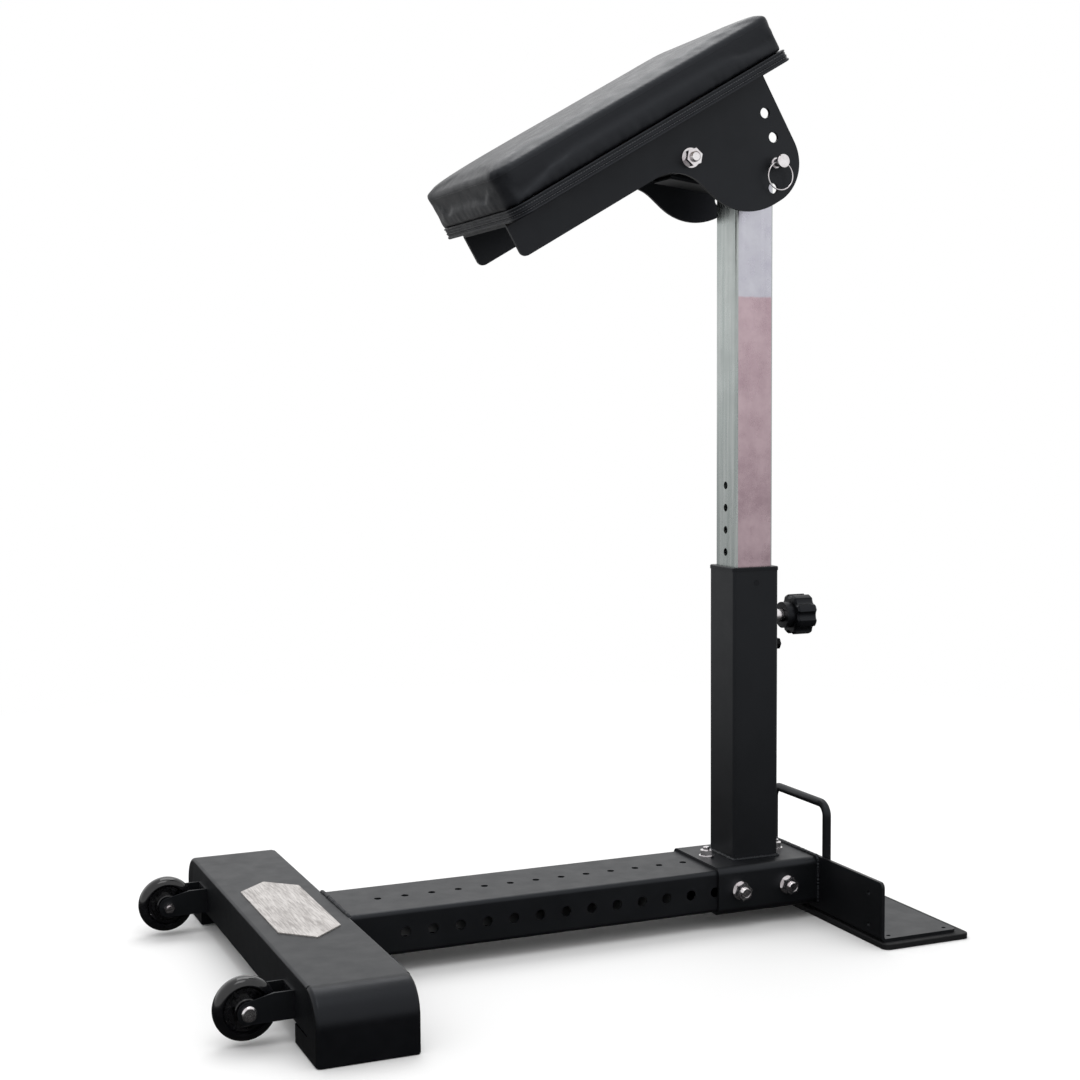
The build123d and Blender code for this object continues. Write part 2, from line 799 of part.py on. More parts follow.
with BuildPart() as pad_band:
    with BuildSketch(tilted(channel_top)):
        pad_outline(0)
    extrude(amount=band_top - channel_top)
    with BuildSketch(tilted(channel_top)):
        pad_outline(band_proud)
    extrude(amount=band_top - channel_top, mode=Mode.SUBTRACT)
finish(pad_band, "pad_band")

with BuildPart() as pad_cushion:
    with BuildSketch(tilted(band_top)):
        pad_outline(cushion_inset)
    extrude(amount=cushion_top - band_top)
    crown = pad_cushion.faces().filter_by(tilted(0)).sort_by(Axis.Z)[-1]
    fillet(crown.edges(), crown_round)
finish(pad_cushion, "pad_cushion")

with BuildPart() as tee_nuts:
    with BuildSketch(tilted(band_top - tee_flange)):
        with Locations((pad_bolt_mid, 0)):
            with GridLocations(*pad_bolt_grid, 2, 2):
                Circle(tee_flange_r)
    extrude(amount=tee_flange)
    with BuildSketch(tilted(band_top - tee_depth)):
        with Locations((pad_bolt_mid, 0)):
            with GridLocations(*pad_bolt_grid, 2, 2):
                Circle(tee_barrel_r)
    extrude(amount=tee_depth - 1)
    with BuildSketch(tilted(band_top - tee_depth - 1)):
        with Locations((pad_bolt_mid, 0)):
            with GridLocations(*pad_bolt_grid, 2, 2):
                Circle(bolt8_r)
    extrude(amount=20, mode=Mode.SUBTRACT)
finish(tee_nuts, "tee_nuts")

pad_head = web_rise - washer8
with BuildPart() as pad_bolts:
    with BuildSketch(tilted(pad_head - hex8[1])):
        with Locations((pad_bolt_mid, 0)):
            with GridLocations(*pad_bolt_grid, 2, 2):
                RegularPolygon(hex8[0] / 2, 6, major_radius=False)
    extrude(amount=hex8[1])
    with BuildSketch(tilted(pad_head)):
        with Locations((pad_bolt_mid, 0)):
            with GridLocations(*pad_bolt_grid, 2, 2):
                Circle(bolt8_r)
    extrude(amount=band_top - pad_head)
finish(pad_bolts, "pad_bolts")

with BuildPart() as pad_washers:
    with BuildSketch(tilted(pad_head)):
        with Locations((pad_bolt_mid, 0)):
            with GridLocations(*pad_bolt_grid, 2, 2):
                Circle(washer8_r)
                Circle(bolt8_r, mode=Mode.SUBTRACT)
    extrude(amount=washer8)
finish(pad_washers, "pad_washers")

# ---------------- transport wheels ----------------
fork_gap = 20.5
fork_plate = 3.0
fork_top = 67.0
fork_bottom = 32.0
hub_half = 14.5
boss_r = 14.0
fork_reach = 26.0
tread_round = 9.0
bearing_wide = 7.0
web_half = 3.0
rim_half = 11.0
rim_wall = 2.5
core_r = 14.0
axle_play = 2.0
spacer_r = 7.0
axle_head_r = 10.0
axle_head = 5.0
for side, label in ((-1, "left"), (1, "right")):
    y_mid = side * wheel_y
    with BuildPart() as tyre:
        with BuildSketch(Plane.XY.offset(wheel_z)):
            with Locations((wheel_x + (rim_r + wheel_r) / 2, y_mid)):
                Rectangle(wheel_r - rim_r, wheel_width)
            outer_corners = vertices().sort_by(Axis.X)[-2:]
            fillet(outer_corners, tread_round)
        revolve(axis=Axis((wheel_x, 0, wheel_z), (0, 1, 0)), revolution_arc=360)
    finish(tyre, "tyre_" + label)

    with BuildPart() as hub:
        with BuildSketch(facing(y_mid + hub_half)):
            with Locations((wheel_x, wheel_z)):
                Circle(rim_r)
        extrude(amount=2 * hub_half)
        for y in (y_mid + hub_half, y_mid - web_half):
            with BuildSketch(facing(y)):
                with Locations((wheel_x, wheel_z)):
                    Circle(rim_r + 1)
                    Circle(core_r, mode=Mode.SUBTRACT)
                    with PolarLocations(core_r + 5, 6):
                        Rectangle(12, 4, mode=Mode.SUBTRACT)
            extrude(amount=hub_half - web_half, mode=Mode.SUBTRACT)
        with BuildSketch(facing(y_mid + rim_half)):
            with Locations((wheel_x, wheel_z)):
                Circle(rim_r)
                Circle(rim_r - rim_wall, mode=Mode.SUBTRACT)
        extrude(amount=2 * rim_half)
        for y in (y_mid + hub_half, y_mid - hub_half + bearing_wide):
            with BuildSketch(facing(y)):
                with Locations((wheel_x, wheel_z)):
                    Circle(bearing_r)
            extrude(amount=bearing_wide, mode=Mode.SUBTRACT)
        with BuildSketch(facing(y_mid + hub_half)):
            with Locations((wheel_x, wheel_z)):
                Circle(bolt8_r + axle_play)
        extrude(amount=2 * hub_half, mode=Mode.SUBTRACT)
    finish(hub, "hub_" + label)

    with BuildPart() as bearings:
        for y in (y_mid + hub_half, y_mid - hub_half + bearing_wide):
            with BuildSketch(facing(y)):
                with Locations((wheel_x, wheel_z)):
                    Circle(bearing_r)
                    Circle(bolt8_r + running_gap, mode=Mode.SUBTRACT)
            extrude(amount=bearing_wide)
    finish(bearings, "bearings_" + label)

    with BuildPart() as fork:
        with BuildSketch(facing(y_mid + fork_gap + fork_plate)):
            with BuildLine():
                top_edge = Line((bar_front, fork_top), (bar_front - fork_reach, fork_top))
                bottom_edge = Line((bar_front, fork_bottom), (wheel_x, wheel_z - boss_r))
                Line(top_edge @ 1, (wheel_x, wheel_z + boss_r))
                Line((wheel_x, wheel_z + boss_r), bottom_edge @ 1)
                Line(top_edge @ 0, bottom_edge @ 0)
            make_face()
            with Locations((wheel_x, wheel_z)):
                Circle(boss_r)
                Circle(bolt8_r, mode=Mode.SUBTRACT)
        extrude(amount=2 * (fork_gap + fork_plate))
        with BuildSketch(facing(y_mid + fork_gap)):
            with Locations((bar_front - fork_plate - 100, 60)):
                Rectangle(200, 120)
        extrude(amount=2 * fork_gap, mode=Mode.SUBTRACT)
    finish(fork, "fork_" + label)

cheek = fork_gap + fork_plate
with BuildPart() as axle_bolts:
    for side in (-1, 1):
        head_y = side * (wheel_y + cheek)
        far_y = side * (wheel_y - cheek - hex8[2] - 3)
        with BuildSketch(facing(max(head_y, far_y))):
            with Locations((wheel_x, wheel_z)):
                Circle(bolt8_r)
        extrude(amount=abs(head_y - far_y))
        with BuildSketch(facing(head_y + (axle_head if side > 0 else 0))):
            with Locations((wheel_x, wheel_z)):
                Circle(axle_head_r)
        extrude(amount=axle_head)
        crown_edge = axle_bolts.faces().sort_by(Axis.Y)[-1 if side > 0 else 0].edges()
        fillet(crown_edge, 3)
finish(axle_bolts, "axle_bolts")

with BuildPart() as axle_spacers:
    for side in (-1, 1):
        for y in (side * wheel_y + fork_gap, side * wheel_y - hub_half):
            with BuildSketch(facing(y)):
                with Locations((wheel_x, wheel_z)):
                    Circle(spacer_r)
                    Circle(bolt8_r, mode=Mode.SUBTRACT)
            extrude(amount=fork_gap - hub_half)
finish(axle_spacers, "axle_spacers")

with BuildPart() as axle_nuts:
    for side in (-1, 1):
        with BuildSketch(facing(side * (wheel_y - cheek) + (0 if side > 0 else hex8[2]))):
            with Locations((wheel_x, wheel_z)):
                RegularPolygon(hex8[0] / 2, 6, major_radius=False)
                Circle(bolt8_r, mode=Mode.SUBTRACT)
        extrude(amount=hex8[2])
finish(axle_nuts, "axle_nuts")
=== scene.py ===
"""A tilting padded support stand: finishes, soft goods, welds, threads and a plain studio."""

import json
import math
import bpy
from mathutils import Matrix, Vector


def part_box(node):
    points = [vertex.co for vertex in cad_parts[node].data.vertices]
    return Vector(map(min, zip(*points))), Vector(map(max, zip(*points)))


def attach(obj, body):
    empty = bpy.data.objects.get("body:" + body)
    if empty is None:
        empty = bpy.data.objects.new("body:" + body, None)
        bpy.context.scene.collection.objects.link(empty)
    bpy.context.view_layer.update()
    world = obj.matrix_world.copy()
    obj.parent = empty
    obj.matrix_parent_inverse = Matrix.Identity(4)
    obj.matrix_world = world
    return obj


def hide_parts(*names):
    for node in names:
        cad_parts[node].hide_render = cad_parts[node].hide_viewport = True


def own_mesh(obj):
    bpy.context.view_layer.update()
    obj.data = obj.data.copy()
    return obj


bl_info = {
    "name": "Padded Support Stand",
    "version": (1, 0, 0),
    "blender": (4, 5, 0),
    "location": "View3D > Sidebar > Stand",
    "description": "Builds the cushion, wheels, welds, threads and finishes of a padded support stand",
    "category": "Object",
}

import bmesh
import bpy
from mathutils import Matrix, Vector, noise
from mathutils.bvhtree import BVHTree

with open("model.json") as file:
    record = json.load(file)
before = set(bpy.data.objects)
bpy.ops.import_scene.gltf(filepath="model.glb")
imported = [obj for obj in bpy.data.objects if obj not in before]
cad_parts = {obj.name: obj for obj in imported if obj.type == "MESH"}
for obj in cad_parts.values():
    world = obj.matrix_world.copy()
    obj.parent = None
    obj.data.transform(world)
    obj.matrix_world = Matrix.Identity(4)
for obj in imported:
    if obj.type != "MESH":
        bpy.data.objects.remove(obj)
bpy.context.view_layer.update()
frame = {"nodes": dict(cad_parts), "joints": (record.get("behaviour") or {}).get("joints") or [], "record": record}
NODES = frame["nodes"]
JOINTS = {joint["name"]: joint for joint in frame["joints"]}

COOL = (0.86, 0.91, 1.0, 1.0)
PIVOT = Vector(JOINTS["pad_tilt"]["pos_m"])
TILT = math.radians(30.0)
SLOPE = Vector((math.cos(TILT), 0.0, math.sin(TILT)))
RISE = Vector((-math.sin(TILT), 0.0, math.cos(TILT)))


def socket(node, key):
    """The enabled input of a node whose name is key, with underscores for spaces."""
    wanted = key.replace("_", " ").lower()
    return next(s for s in node.inputs if s.enabled and s.name.lower() == wanted)


# ---------------- shader maths ----------------
class Value:
    """A number socket that can be used in a Python expression."""

    def __init__(self, tree, socket):
        self.tree = tree
        self.socket = socket

    def math(self, operation, first, second):
        node = self.tree.nodes.new("ShaderNodeMath")
        node.operation = operation
        for slot, term in zip(node.inputs, (first, second)):
            if isinstance(term, Value):
                self.tree.links.new(term.socket, slot)
            else:
                slot.default_value = term
        return Value(self.tree, node.outputs[0])

    def __add__(self, other):
        return self.math("ADD", self, other)

    def __radd__(self, other):
        return self.math("ADD", other, self)

    def __rsub__(self, other):
        return self.math("SUBTRACT", other, self)

    def __mul__(self, other):
        return self.math("MULTIPLY", self, other)

    def __rmul__(self, other):
        return self.math("MULTIPLY", other, self)

    def __pow__(self, other):
        return self.math("POWER", self, other)

    def above(self, edge):
        return self.math("GREATER_THAN", self, edge)


class Finish:
    """A material whose surface is one Principled shader."""

    def __init__(self, name, **constants):
        self.material = bpy.data.materials.new(name)
        self.material.use_nodes = True
        self.tree = self.material.node_tree
        self.tree.nodes.clear()
        self.surface = self.tree.nodes.new("ShaderNodeBsdfPrincipled")
        self.output = self.tree.nodes.new("ShaderNodeOutputMaterial")
        self.tree.links.new(self.surface.outputs["BSDF"], self.output.inputs["Surface"])
        for key, value in constants.items():
            socket(self.surface, key).default_value = value
        self.place = self.node("ShaderNodeTexCoord", None, "Object")

    def node(self, kind, settings=None, output=0, **values):
        """Adds a node, sets it up, feeds its sockets and returns one of its outputs."""
        made = self.tree.nodes.new(kind)
        for key, value in (settings or {}).items():
            setattr(made, key, value)
        for key, value in values.items():
            slot = socket(made, key)
            if isinstance(value, Value):
                self.tree.links.new(value.socket, slot)
            else:
                slot.default_value = value
        return Value(self.tree, made.outputs[output])

    def feed(self, key, value):
        self.tree.links.new(value.socket, self.surface.inputs[key])

    def stretched(self, scale, turn=(0.0, 0.0, 0.0)):
        return self.node("ShaderNodeMapping", vector=self.place, scale=scale, rotation=turn)

    def noise(self, scale, detail=2.0, roughness=0.5, vector=None):
        start = vector or self.place
        return self.node("ShaderNodeTexNoise", vector=start, scale=scale, detail=detail, roughness=roughness)

    def cells(self, scale):
        return self.node("ShaderNodeTexVoronoi", vector=self.place, scale=scale)

    def axis(self, name):
        return self.node("ShaderNodeSeparateXYZ", None, name, vector=self.place)

    def blend(self, factor, first, second):
        """Colour between first and second."""
        ends = [colour if isinstance(colour, Value) else (*colour, 1.0) for colour in (first, second)]
        return self.node("ShaderNodeMix", {"data_type": "RGBA"}, 2, factor=factor, a=ends[0], b=ends[1])

    def range(self, value, low, high, new_low=0.0, new_high=1.0):
        ends = {"from_min": low, "from_max": high, "to_min": new_low, "to_max": new_high}
        return self.node("ShaderNodeMapRange", value=value, **ends)

    def mix(self, factor, first, second):
        """Shader between first and second."""
        made = self.tree.nodes.new("ShaderNodeMixShader")
        for slot, value in zip(made.inputs, (factor, first, second)):
            self.tree.links.new(value.socket, slot)
        return Value(self.tree, made.outputs[0])

    def bump(self, height, distance, strength):
        slope = self.node("ShaderNodeBump", strength=strength, distance=distance, height=height)
        self.feed("Normal", slope)


def mottled(name, tone, colours, gloss, rough, **constants):
    """A finish with uneven colour and gloss, where tone and gloss are the noise that varies them."""
    finish = Finish(name, **constants)
    finish.feed("Base Color", finish.blend(finish.noise(*tone), *colours))
    finish.feed("Roughness", finish.range(finish.noise(*gloss), 0.3, 0.7, *rough))
    return finish


def powder_coat(look):
    """Satin black powder coat with a fine peel and faint dusty patches."""
    finish = Finish("satin_powder_coat", specular_ior_level=0.33, specular_tint=COOL)
    dust = finish.range(finish.noise(9.0, 5.0), 0.35, 0.7)
    finish.feed("Base Color", finish.blend(dust, look.coat_dark, look.coat_light))
    finish.feed("Roughness", finish.range(finish.noise(38.0, 4.0), 0.3, 0.7, 0.39, 0.46))
    peel = finish.noise(900.0, 2.0) + 0.35 * finish.noise(2600.0, 2.0)
    finish.bump(peel, 0.00012, 0.35)
    return finish.material


def moulded(look):
    """Satin black moulding with a fine grain."""
    black = (look.mould_dark, look.mould_light)
    sheen = {"specular_ior_level": 0.24, "specular_tint": COOL}
    finish = mottled("moulded_black", (14.0, 4.0), black, (60.0, 3.0), (0.3, 0.4), **sheen)
    finish.bump(finish.cells(1500.0), 0.00008, 0.3)
    return finish.material


def plated(look):
    """Bright zinc on the square tube: each wall and the upper length take a different tint. The split by wall is
    painted reflection over the plating's own hue and mottle: each wall is coloured for the light it faces.
    """
    near_wall = 0.0313
    upper_from, upper_full = 0.9335, 0.9365
    finish = Finish("plated_tube", metallic=1.0)
    across = finish.axis("Y")
    height = finish.axis("Z")
    # Side walls set apart from front and rear walls: painted reflection, each wall coloured for the light it
    # faces, over the plating's hue.
    side = (across * across).above(near_wall**2)
    blotch = finish.range(finish.noise(17.0, 6.0, 0.65), 0.38, 0.66)
    streak = finish.range(
        finish.noise(120.0, 4.0, 0.6, finish.stretched((1.0, 1.0, 0.035))), 0.35, 0.68
    )
    pink = finish.blend(blotch, look.tint_side_dark, look.tint_side)
    lavender = finish.blend(blotch, look.tint_top_dark, look.tint_top)
    ragged = height + 0.004 * finish.noise(60.0, 3.0)
    upper = finish.range(ragged, upper_from, upper_full)
    flank = finish.blend(upper, pink, lavender)
    green = finish.blend(streak, look.tint_front_dark, look.tint_front)
    finish.feed("Base Color", finish.blend(side, green, flank))
    finish.feed("Roughness", 0.2 + 0.12 * blotch + 0.08 * streak)
    drawn = finish.noise(700.0, 3.0, 0.6, finish.stretched((1.0, 1.0, 0.02)))
    finish.bump(drawn + 0.6 * finish.noise(240.0, 3.0), 0.00006, 0.3)
    return finish.material


def zinc(look):
    """Bright zinc with duller patches."""
    finish = Finish("bright_zinc", metallic=1.0)
    tarnish = finish.range(finish.noise(90.0, 3.0), 0.4, 0.8)
    finish.feed("Base Color", finish.blend(tarnish, look.zinc_light, look.zinc_dark))
    finish.feed("Roughness", finish.range(finish.noise(220.0, 3.0), 0.3, 0.7, 0.14, 0.26))
    finish.bump(finish.noise(1500.0, 2.0), 0.00003, 0.15)
    return finish.material


def black_oxide(look):
    """Dark oxide of the set bolt and its nut."""
    black = (look.mould_dark, look.mould_light)
    return mottled("black_oxide", (120.0,), black, (300.0,), (0.3, 0.5), metallic=0.8).material


def brushed_badge(look):
    """Blank plate with broken diagonal strokes."""
    finish = Finish("diagonal_brushed_plate", metallic=1.0)
    turn = (0.0, 0.0, math.radians(look.stroke_angle))
    strokes = finish.noise(420.0, 6.0, 0.75, finish.stretched((1.0, 0.07, 1.0), turn))
    broken = finish.noise(60.0, 3.0, 0.5, finish.stretched((1.0, 0.35, 1.0), turn))
    line = finish.range(strokes + 0.5 * broken, 0.62, 0.9)
    finish.feed("Base Color", finish.blend(line, look.badge_light, look.badge_dark))
    finish.feed("Roughness", 0.3 + 0.2 * line)
    finish.bump(line, 0.0002, 0.6)
    return finish.material


def vinyl(look):
    """Fine-grained black upholstery vinyl."""
    finish = Finish("fine_grain_vinyl", specular_ior_level=0.36, specular_tint=COOL)
    cloud = finish.range(finish.noise(7.0, 5.0), 0.35, 0.7)
    finish.feed("Base Color", finish.blend(cloud, look.vinyl_dark, look.vinyl_light))
    finish.feed("Roughness", finish.range(finish.noise(55.0, 4.0), 0.3, 0.7, 0.4, 0.5))
    grain = finish.cells(1150.0) + 0.5 * finish.noise(2400.0, 3.0) + 1.6 * finish.noise(130.0, 3.0)
    finish.bump(grain, 0.00022, 0.4)
    return finish.material


def rubber(look):
    """Matt rubber of the mat."""
    black = (look.mould_dark, look.coat_light)
    finish = mottled("ribbed_rubber", (40.0, 4.0), black, (80.0, 3.0), (0.6, 0.8), specular_ior_level=0.35)
    finish.bump(finish.noise(1800.0, 3.0), 0.0002, 0.5)
    return finish.material


def wheel_gloss(look, name, rough):
    """Glossy wheel plastic under a thin clear coat that scuffs take away."""
    finish = Finish(name, specular_ior_level=0.4, coat_roughness=0.06)
    scuff = finish.range(finish.noise(70.0, 5.0, 0.6), 0.45, 0.75)
    finish.feed("Base Color", finish.blend(scuff, look.wheel_dark, look.wheel_light))
    finish.feed("Roughness", rough + 0.16 * scuff)
    finish.feed("Coat Weight", 0.4 - 0.3 * scuff)
    finish.bump(finish.noise(200.0, 3.0), 0.00006, 0.3)
    return finish.material


def plywood(look):
    """Bare board with its grain along the pad."""
    finish = Finish("bare_plywood", specular_ior_level=0.3)
    turned = finish.stretched((1.0, 9.0, 1.0), (0.0, TILT, 0.0))
    grain = finish.range(finish.noise(60.0, 5.0, 0.6, turned), 0.3, 0.7)
    finish.feed("Base Color", finish.blend(grain, look.wood_light, look.wood_dark))
    finish.feed("Roughness", 0.6 + 0.15 * grain)
    finish.bump(grain, 0.0002, 0.4)
    return finish.material


def bush_polymer(look):
    """Dull polymer of the pivot bushes."""
    black = (look.mould_dark, look.mould_light)
    finish = mottled("bush_polymer", (90.0,), black, (200.0,), (0.42, 0.6), specular_ior_level=0.4)
    return finish.material


def thread_black(look):
    """Sewing thread, a little lighter than the vinyl."""
    grey = (look.thread_dark, look.thread_light)
    finish = mottled("stitching_thread", (800.0,), grey, (900.0,), (0.4, 0.6), specular_ior_level=0.5)
    return finish.material


# ---------------- mesh helpers ----------------
def add_object(name, content):
    made = bpy.data.objects.new(name, content)
    bpy.context.scene.collection.objects.link(made)
    return made


def new_mesh(name, points, faces=(), edges=()):
    mesh = bpy.data.meshes.new(name)
    mesh.from_pydata([tuple(p) for p in points], list(edges), list(faces))
    mesh.update()
    return add_object(name, mesh)


def ring_edges(count):
    """Edges that join count points into a closed ring."""
    return [(k, (k + 1) % count) for k in range(count)]


def ring_faces(rings, count, closed):
    """Quads between rings of count points each, back to the first ring if closed."""
    faces = []
    for ring in range(rings if closed else rings - 1):
        here = ring * count
        there = (ring + 1) % rings * count
        for k, nxt in ring_edges(count):
            faces.append((here + k, here + nxt, there + nxt, there + k))
    return faces


def mirrored(profile):
    """A (radius, offset) profile followed by its mirror image."""
    return profile + [(radius, -offset) for radius, offset in reversed(profile)]


def outwards(piece):
    """Merges doubles and turns every face outwards."""
    work = bmesh.new()
    work.from_mesh(piece.data)
    bmesh.ops.remove_doubles(work, verts=work.verts, dist=1e-6)
    bmesh.ops.recalc_face_normals(work, faces=work.faces)
    work.to_mesh(piece.data)
    work.free()
    return piece


def smooth(piece, sharp_degrees=None):
    for polygon in piece.data.polygons:
        polygon.use_smooth = True
    if sharp_degrees:
        piece.data.set_sharp_from_angle(angle=math.radians(sharp_degrees))


def wear(piece, body, material, slot, *stands_for):
    """Gives a finished piece its material and body; the slot argument is not used."""
    piece.data.materials.clear()
    piece.data.materials.append(material)
    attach(piece, body)
    if stands_for:
        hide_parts(*stands_for)
    return piece


def baked(piece, name):
    """Turns what a piece's modifiers make into a plain mesh under a new name."""
    bpy.context.view_layer.update()
    graph = bpy.context.evaluated_depsgraph_get()
    mesh = bpy.data.meshes.new_from_object(piece.evaluated_get(graph), depsgraph=graph)
    mesh.name = name
    old = piece.data
    bpy.data.objects.remove(piece)
    bpy.data.meshes.remove(old)
    return add_object(name, mesh)


def lathe(name, profile, centre, turns):
    """Spins a closed (radius, offset) profile round the Y axis through centre."""
    points = []
    for step in range(turns):
        angle = 2 * math.pi * step / turns
        for radius, offset in profile:
            points.append(centre + Vector((radius * math.cos(angle), offset, radius * math.sin(angle))))
    return outwards(new_mesh(name, points, ring_faces(turns, len(profile), True)))


def open_paths(name, lines):
    """One path object with an open run of edges along each line of points."""
    points, edges = [], []
    for line in lines:
        first = len(points)
        points += line
        edges += [(first + k, first + k + 1) for k in range(len(line) - 1)]
    return new_mesh(name, points, edges=edges)


# ---------------- geometry node trees ----------------
class Tree:
    """A geometry node group with named inputs that ends in Realize Instances and Set Material."""

    def __init__(self, name, **numbers):
        self.group = bpy.data.node_groups.new(name, "GeometryNodeTree")
        face = self.group.interface
        face.new_socket("Path", in_out="INPUT", socket_type="NodeSocketGeometry")
        for key, default in numbers.items():
            made = face.new_socket(key, in_out="INPUT", socket_type="NodeSocketFloat")
            made.default_value = default
        face.new_socket("Finish", in_out="INPUT", socket_type="NodeSocketMaterial")
        face.new_socket("Shape", in_out="OUTPUT", socket_type="NodeSocketGeometry")
        self.source = self.group.nodes.new("NodeGroupInput").outputs

    def add(self, kind, settings=None, **links):
        made = self.group.nodes.new(kind)
        for key, value in (settings or {}).items():
            setattr(made, key, value)
        for key, value in links.items():
            slot = socket(made, key)
            if isinstance(value, bpy.types.NodeSocket):
                self.group.links.new(value, slot)
            else:
                slot.default_value = value
        return made.outputs

    def path_points(self, key):
        """The path's points, evenly spaced by the input called key."""
        curve = self.add("GeometryNodeMeshToCurve", mesh=self.source["Path"])[0]
        spacing = self.source[key]
        return self.add("GeometryNodeResampleCurve", {"mode": "LENGTH"}, curve=curve, length=spacing)[0]

    def ring(self, key, resolution):
        """A circle whose radius is the input called key."""
        radius = self.source[key]
        kind = "GeometryNodeCurvePrimitiveCircle"
        return self.add(kind, {"mode": "RADIUS"}, resolution=resolution, radius=radius)[0]

    def along_path(self, points, instance):
        """Instances on the points, each with its Z axis along the path."""
        tangent = self.add("GeometryNodeInputTangent")[0]
        turn = self.add("FunctionNodeAlignRotationToVector", {"axis": "Z"}, vector=tangent)[0]
        kind = "GeometryNodeInstanceOnPoints"
        return self.add(kind, points=points, instance=instance, rotation=turn)[0]

    def close(self, shape):
        real = self.add("GeometryNodeRealizeInstances", geometry=shape)[0]
        done = self.add("GeometryNodeSetMaterial", geometry=real, material=self.source["Finish"])[0]
        output = self.group.nodes.new("NodeGroupOutput")
        self.group.links.new(done, output.inputs[0])
        return self.group


def apply_tree(path, group, name, material, **numbers):
    """Runs a node group on a path object and keeps the plain mesh."""
    modifier = path.modifiers.new(group.name, "NODES")
    modifier.node_group = group
    for item in group.interface.items_tree:
        if item.item_type == "SOCKET" and item.in_out == "INPUT":
            if item.name in numbers:
                modifier[item.identifier] = numbers[item.name]
            elif item.name == "Finish":
                modifier[item.identifier] = material
    return baked(path, name)


def bead_tree():
    """Weld scales laid close along a path."""
    tree = Tree("weld_scales", Step=0.0019, Radius=0.0026, Wobble=0.35)
    points = tree.path_points("Step")
    scale = tree.add("GeometryNodeMeshIcoSphere", radius=tree.source["Radius"], subdivisions=2)[0]
    least = tree.add("ShaderNodeMath", {"operation": "SUBTRACT"})[0]
    least.node.inputs[0].default_value = 1.0
    tree.group.links.new(tree.source["Wobble"], least.node.inputs[1])
    vary = tree.add("FunctionNodeRandomValue", {"data_type": "FLOAT"}, min=least, max=1.0, seed=7)
    size = next(s for s in vary if s.enabled)
    placed = tree.add("GeometryNodeInstanceOnPoints", points=points, instance=scale, scale=size)[0]
    return tree.close(placed)


def ridge_tree():
    """Thread crests along a bolt's axis."""
    tree = Tree("thread_crests", Pitch=0.0015, Radius=0.005, Crest=0.0004)
    points = tree.path_points("Pitch")
    ring = tree.ring("Radius", 36)
    crest = tree.ring("Crest", 4)
    hoop = tree.add("GeometryNodeCurveToMesh", curve=ring, profile_curve=crest)[0]
    return tree.close(tree.along_path(points, hoop))


def cord_tree():
    """A round cord along a closed path."""
    tree = Tree("piping_cord", Radius=0.001)
    curve = tree.add("GeometryNodeMeshToCurve", mesh=tree.source["Path"])[0]
    section = tree.ring("Radius", 8)
    tube = tree.add("GeometryNodeCurveToMesh", curve=curve, profile_curve=section)[0]
    return tree.close(tube)


def stitch_tree():
    """Short stitches end to end along a closed path."""
    tree = Tree("stitches", Step=0.0042, Length=0.003, Radius=0.00035)
    points = tree.path_points("Step")
    radius = tree.source["Radius"]
    depth = tree.source["Length"]
    stitch = tree.add("GeometryNodeMeshCylinder", vertices=6, radius=radius, depth=depth)[0]
    return tree.close(tree.along_path(points, stitch))


def spoke_tree():
    """Spokes round a hub: one bar repeated on the points of a circle."""
    tree = Tree("hub_spokes", Ring=0.018, Long=0.013, Thick=0.004, Deep=0.012)
    curve = tree.add("GeometryNodeMeshToCurve", mesh=tree.source["Path"])[0]
    tangent = tree.add("GeometryNodeInputTangent")[0]
    size = tree.add("ShaderNodeCombineXYZ")[0]
    for name, key in (("X", "Thick"), ("Y", "Deep"), ("Z", "Long")):
        tree.group.links.new(tree.source[key], size.node.inputs[name])
    bar = tree.add("GeometryNodeMeshCube", size=size)[0]
    axes = {"axis": "X", "pivot_axis": "Y"}
    turn = tree.add("FunctionNodeAlignRotationToVector", axes, vector=tangent)[0]
    points = tree.add("GeometryNodeCurveToPoints", {"mode": "EVALUATED"}, curve=curve)
    placed = tree.add("GeometryNodeInstanceOnPoints", points=points[0], instance=bar, rotation=turn)[0]
    return tree.close(placed)


# ---------------- pad frame ----------------
def on_pad(s, y, n):
    """Point s up the slope, y across and n above the pivot, all in metres."""
    return PIVOT + s * SLOPE + Vector((0.0, y, 0.0)) + n * RISE


def pad_extent(node):
    """Lowest and highest (s, y, n) of a CAD node in the pad's own directions."""
    spans = [[], [], []]
    for vertex in NODES[node].data.vertices:
        away = vertex.co - PIVOT
        for span, value in zip(spans, (away.dot(SLOPE), away.y, away.dot(RISE))):
            span.append(value)
    return [(min(span), max(span)) for span in spans]


def plan_loop(front, rear, half, front_r, rear_r, step):
    """Evenly spaced (s, y, outward s, outward y) round the pad's plan."""
    corners = (
        (front + front_r, -half + front_r, front_r, 180.0),
        (rear - rear_r, -half + rear_r, rear_r, 270.0),
        (rear - rear_r, half - rear_r, rear_r, 0.0),
        (front + front_r, half - front_r, front_r, 90.0),
    )
    dense = []
    for index, (cs, cy, radius, start) in enumerate(corners):
        arc = max(6, int(radius * math.pi / 2 / step * 2))
        for k in range(arc + 1):
            angle = math.radians(start + 90.0 * k / arc)
            out = (math.cos(angle), math.sin(angle))
            dense.append((cs + radius * out[0], cy + radius * out[1], *out))
        following = corners[(index + 1) % 4]
        angle = math.radians(following[3])
        s, y, *out = dense[-1]
        run_s = following[0] + following[2] * math.cos(angle) - s
        run_y = following[1] + following[2] * math.sin(angle) - y
        parts = max(1, int(math.hypot(run_s, run_y) / step))
        for k in range(1, parts):
            share = k / parts
            dense.append((s + run_s * share, y + run_y * share, *out))
    return dense


def loop_object(name, loop, lift, inset=0.0):
    """A closed edge loop on the pad's plan, lift above the pivot, as a path for a node group."""
    points = [on_pad(s - inset * ds, y - inset * dy, lift) for s, y, ds, dy in loop]
    return new_mesh(name, points, edges=ring_edges(len(points)))


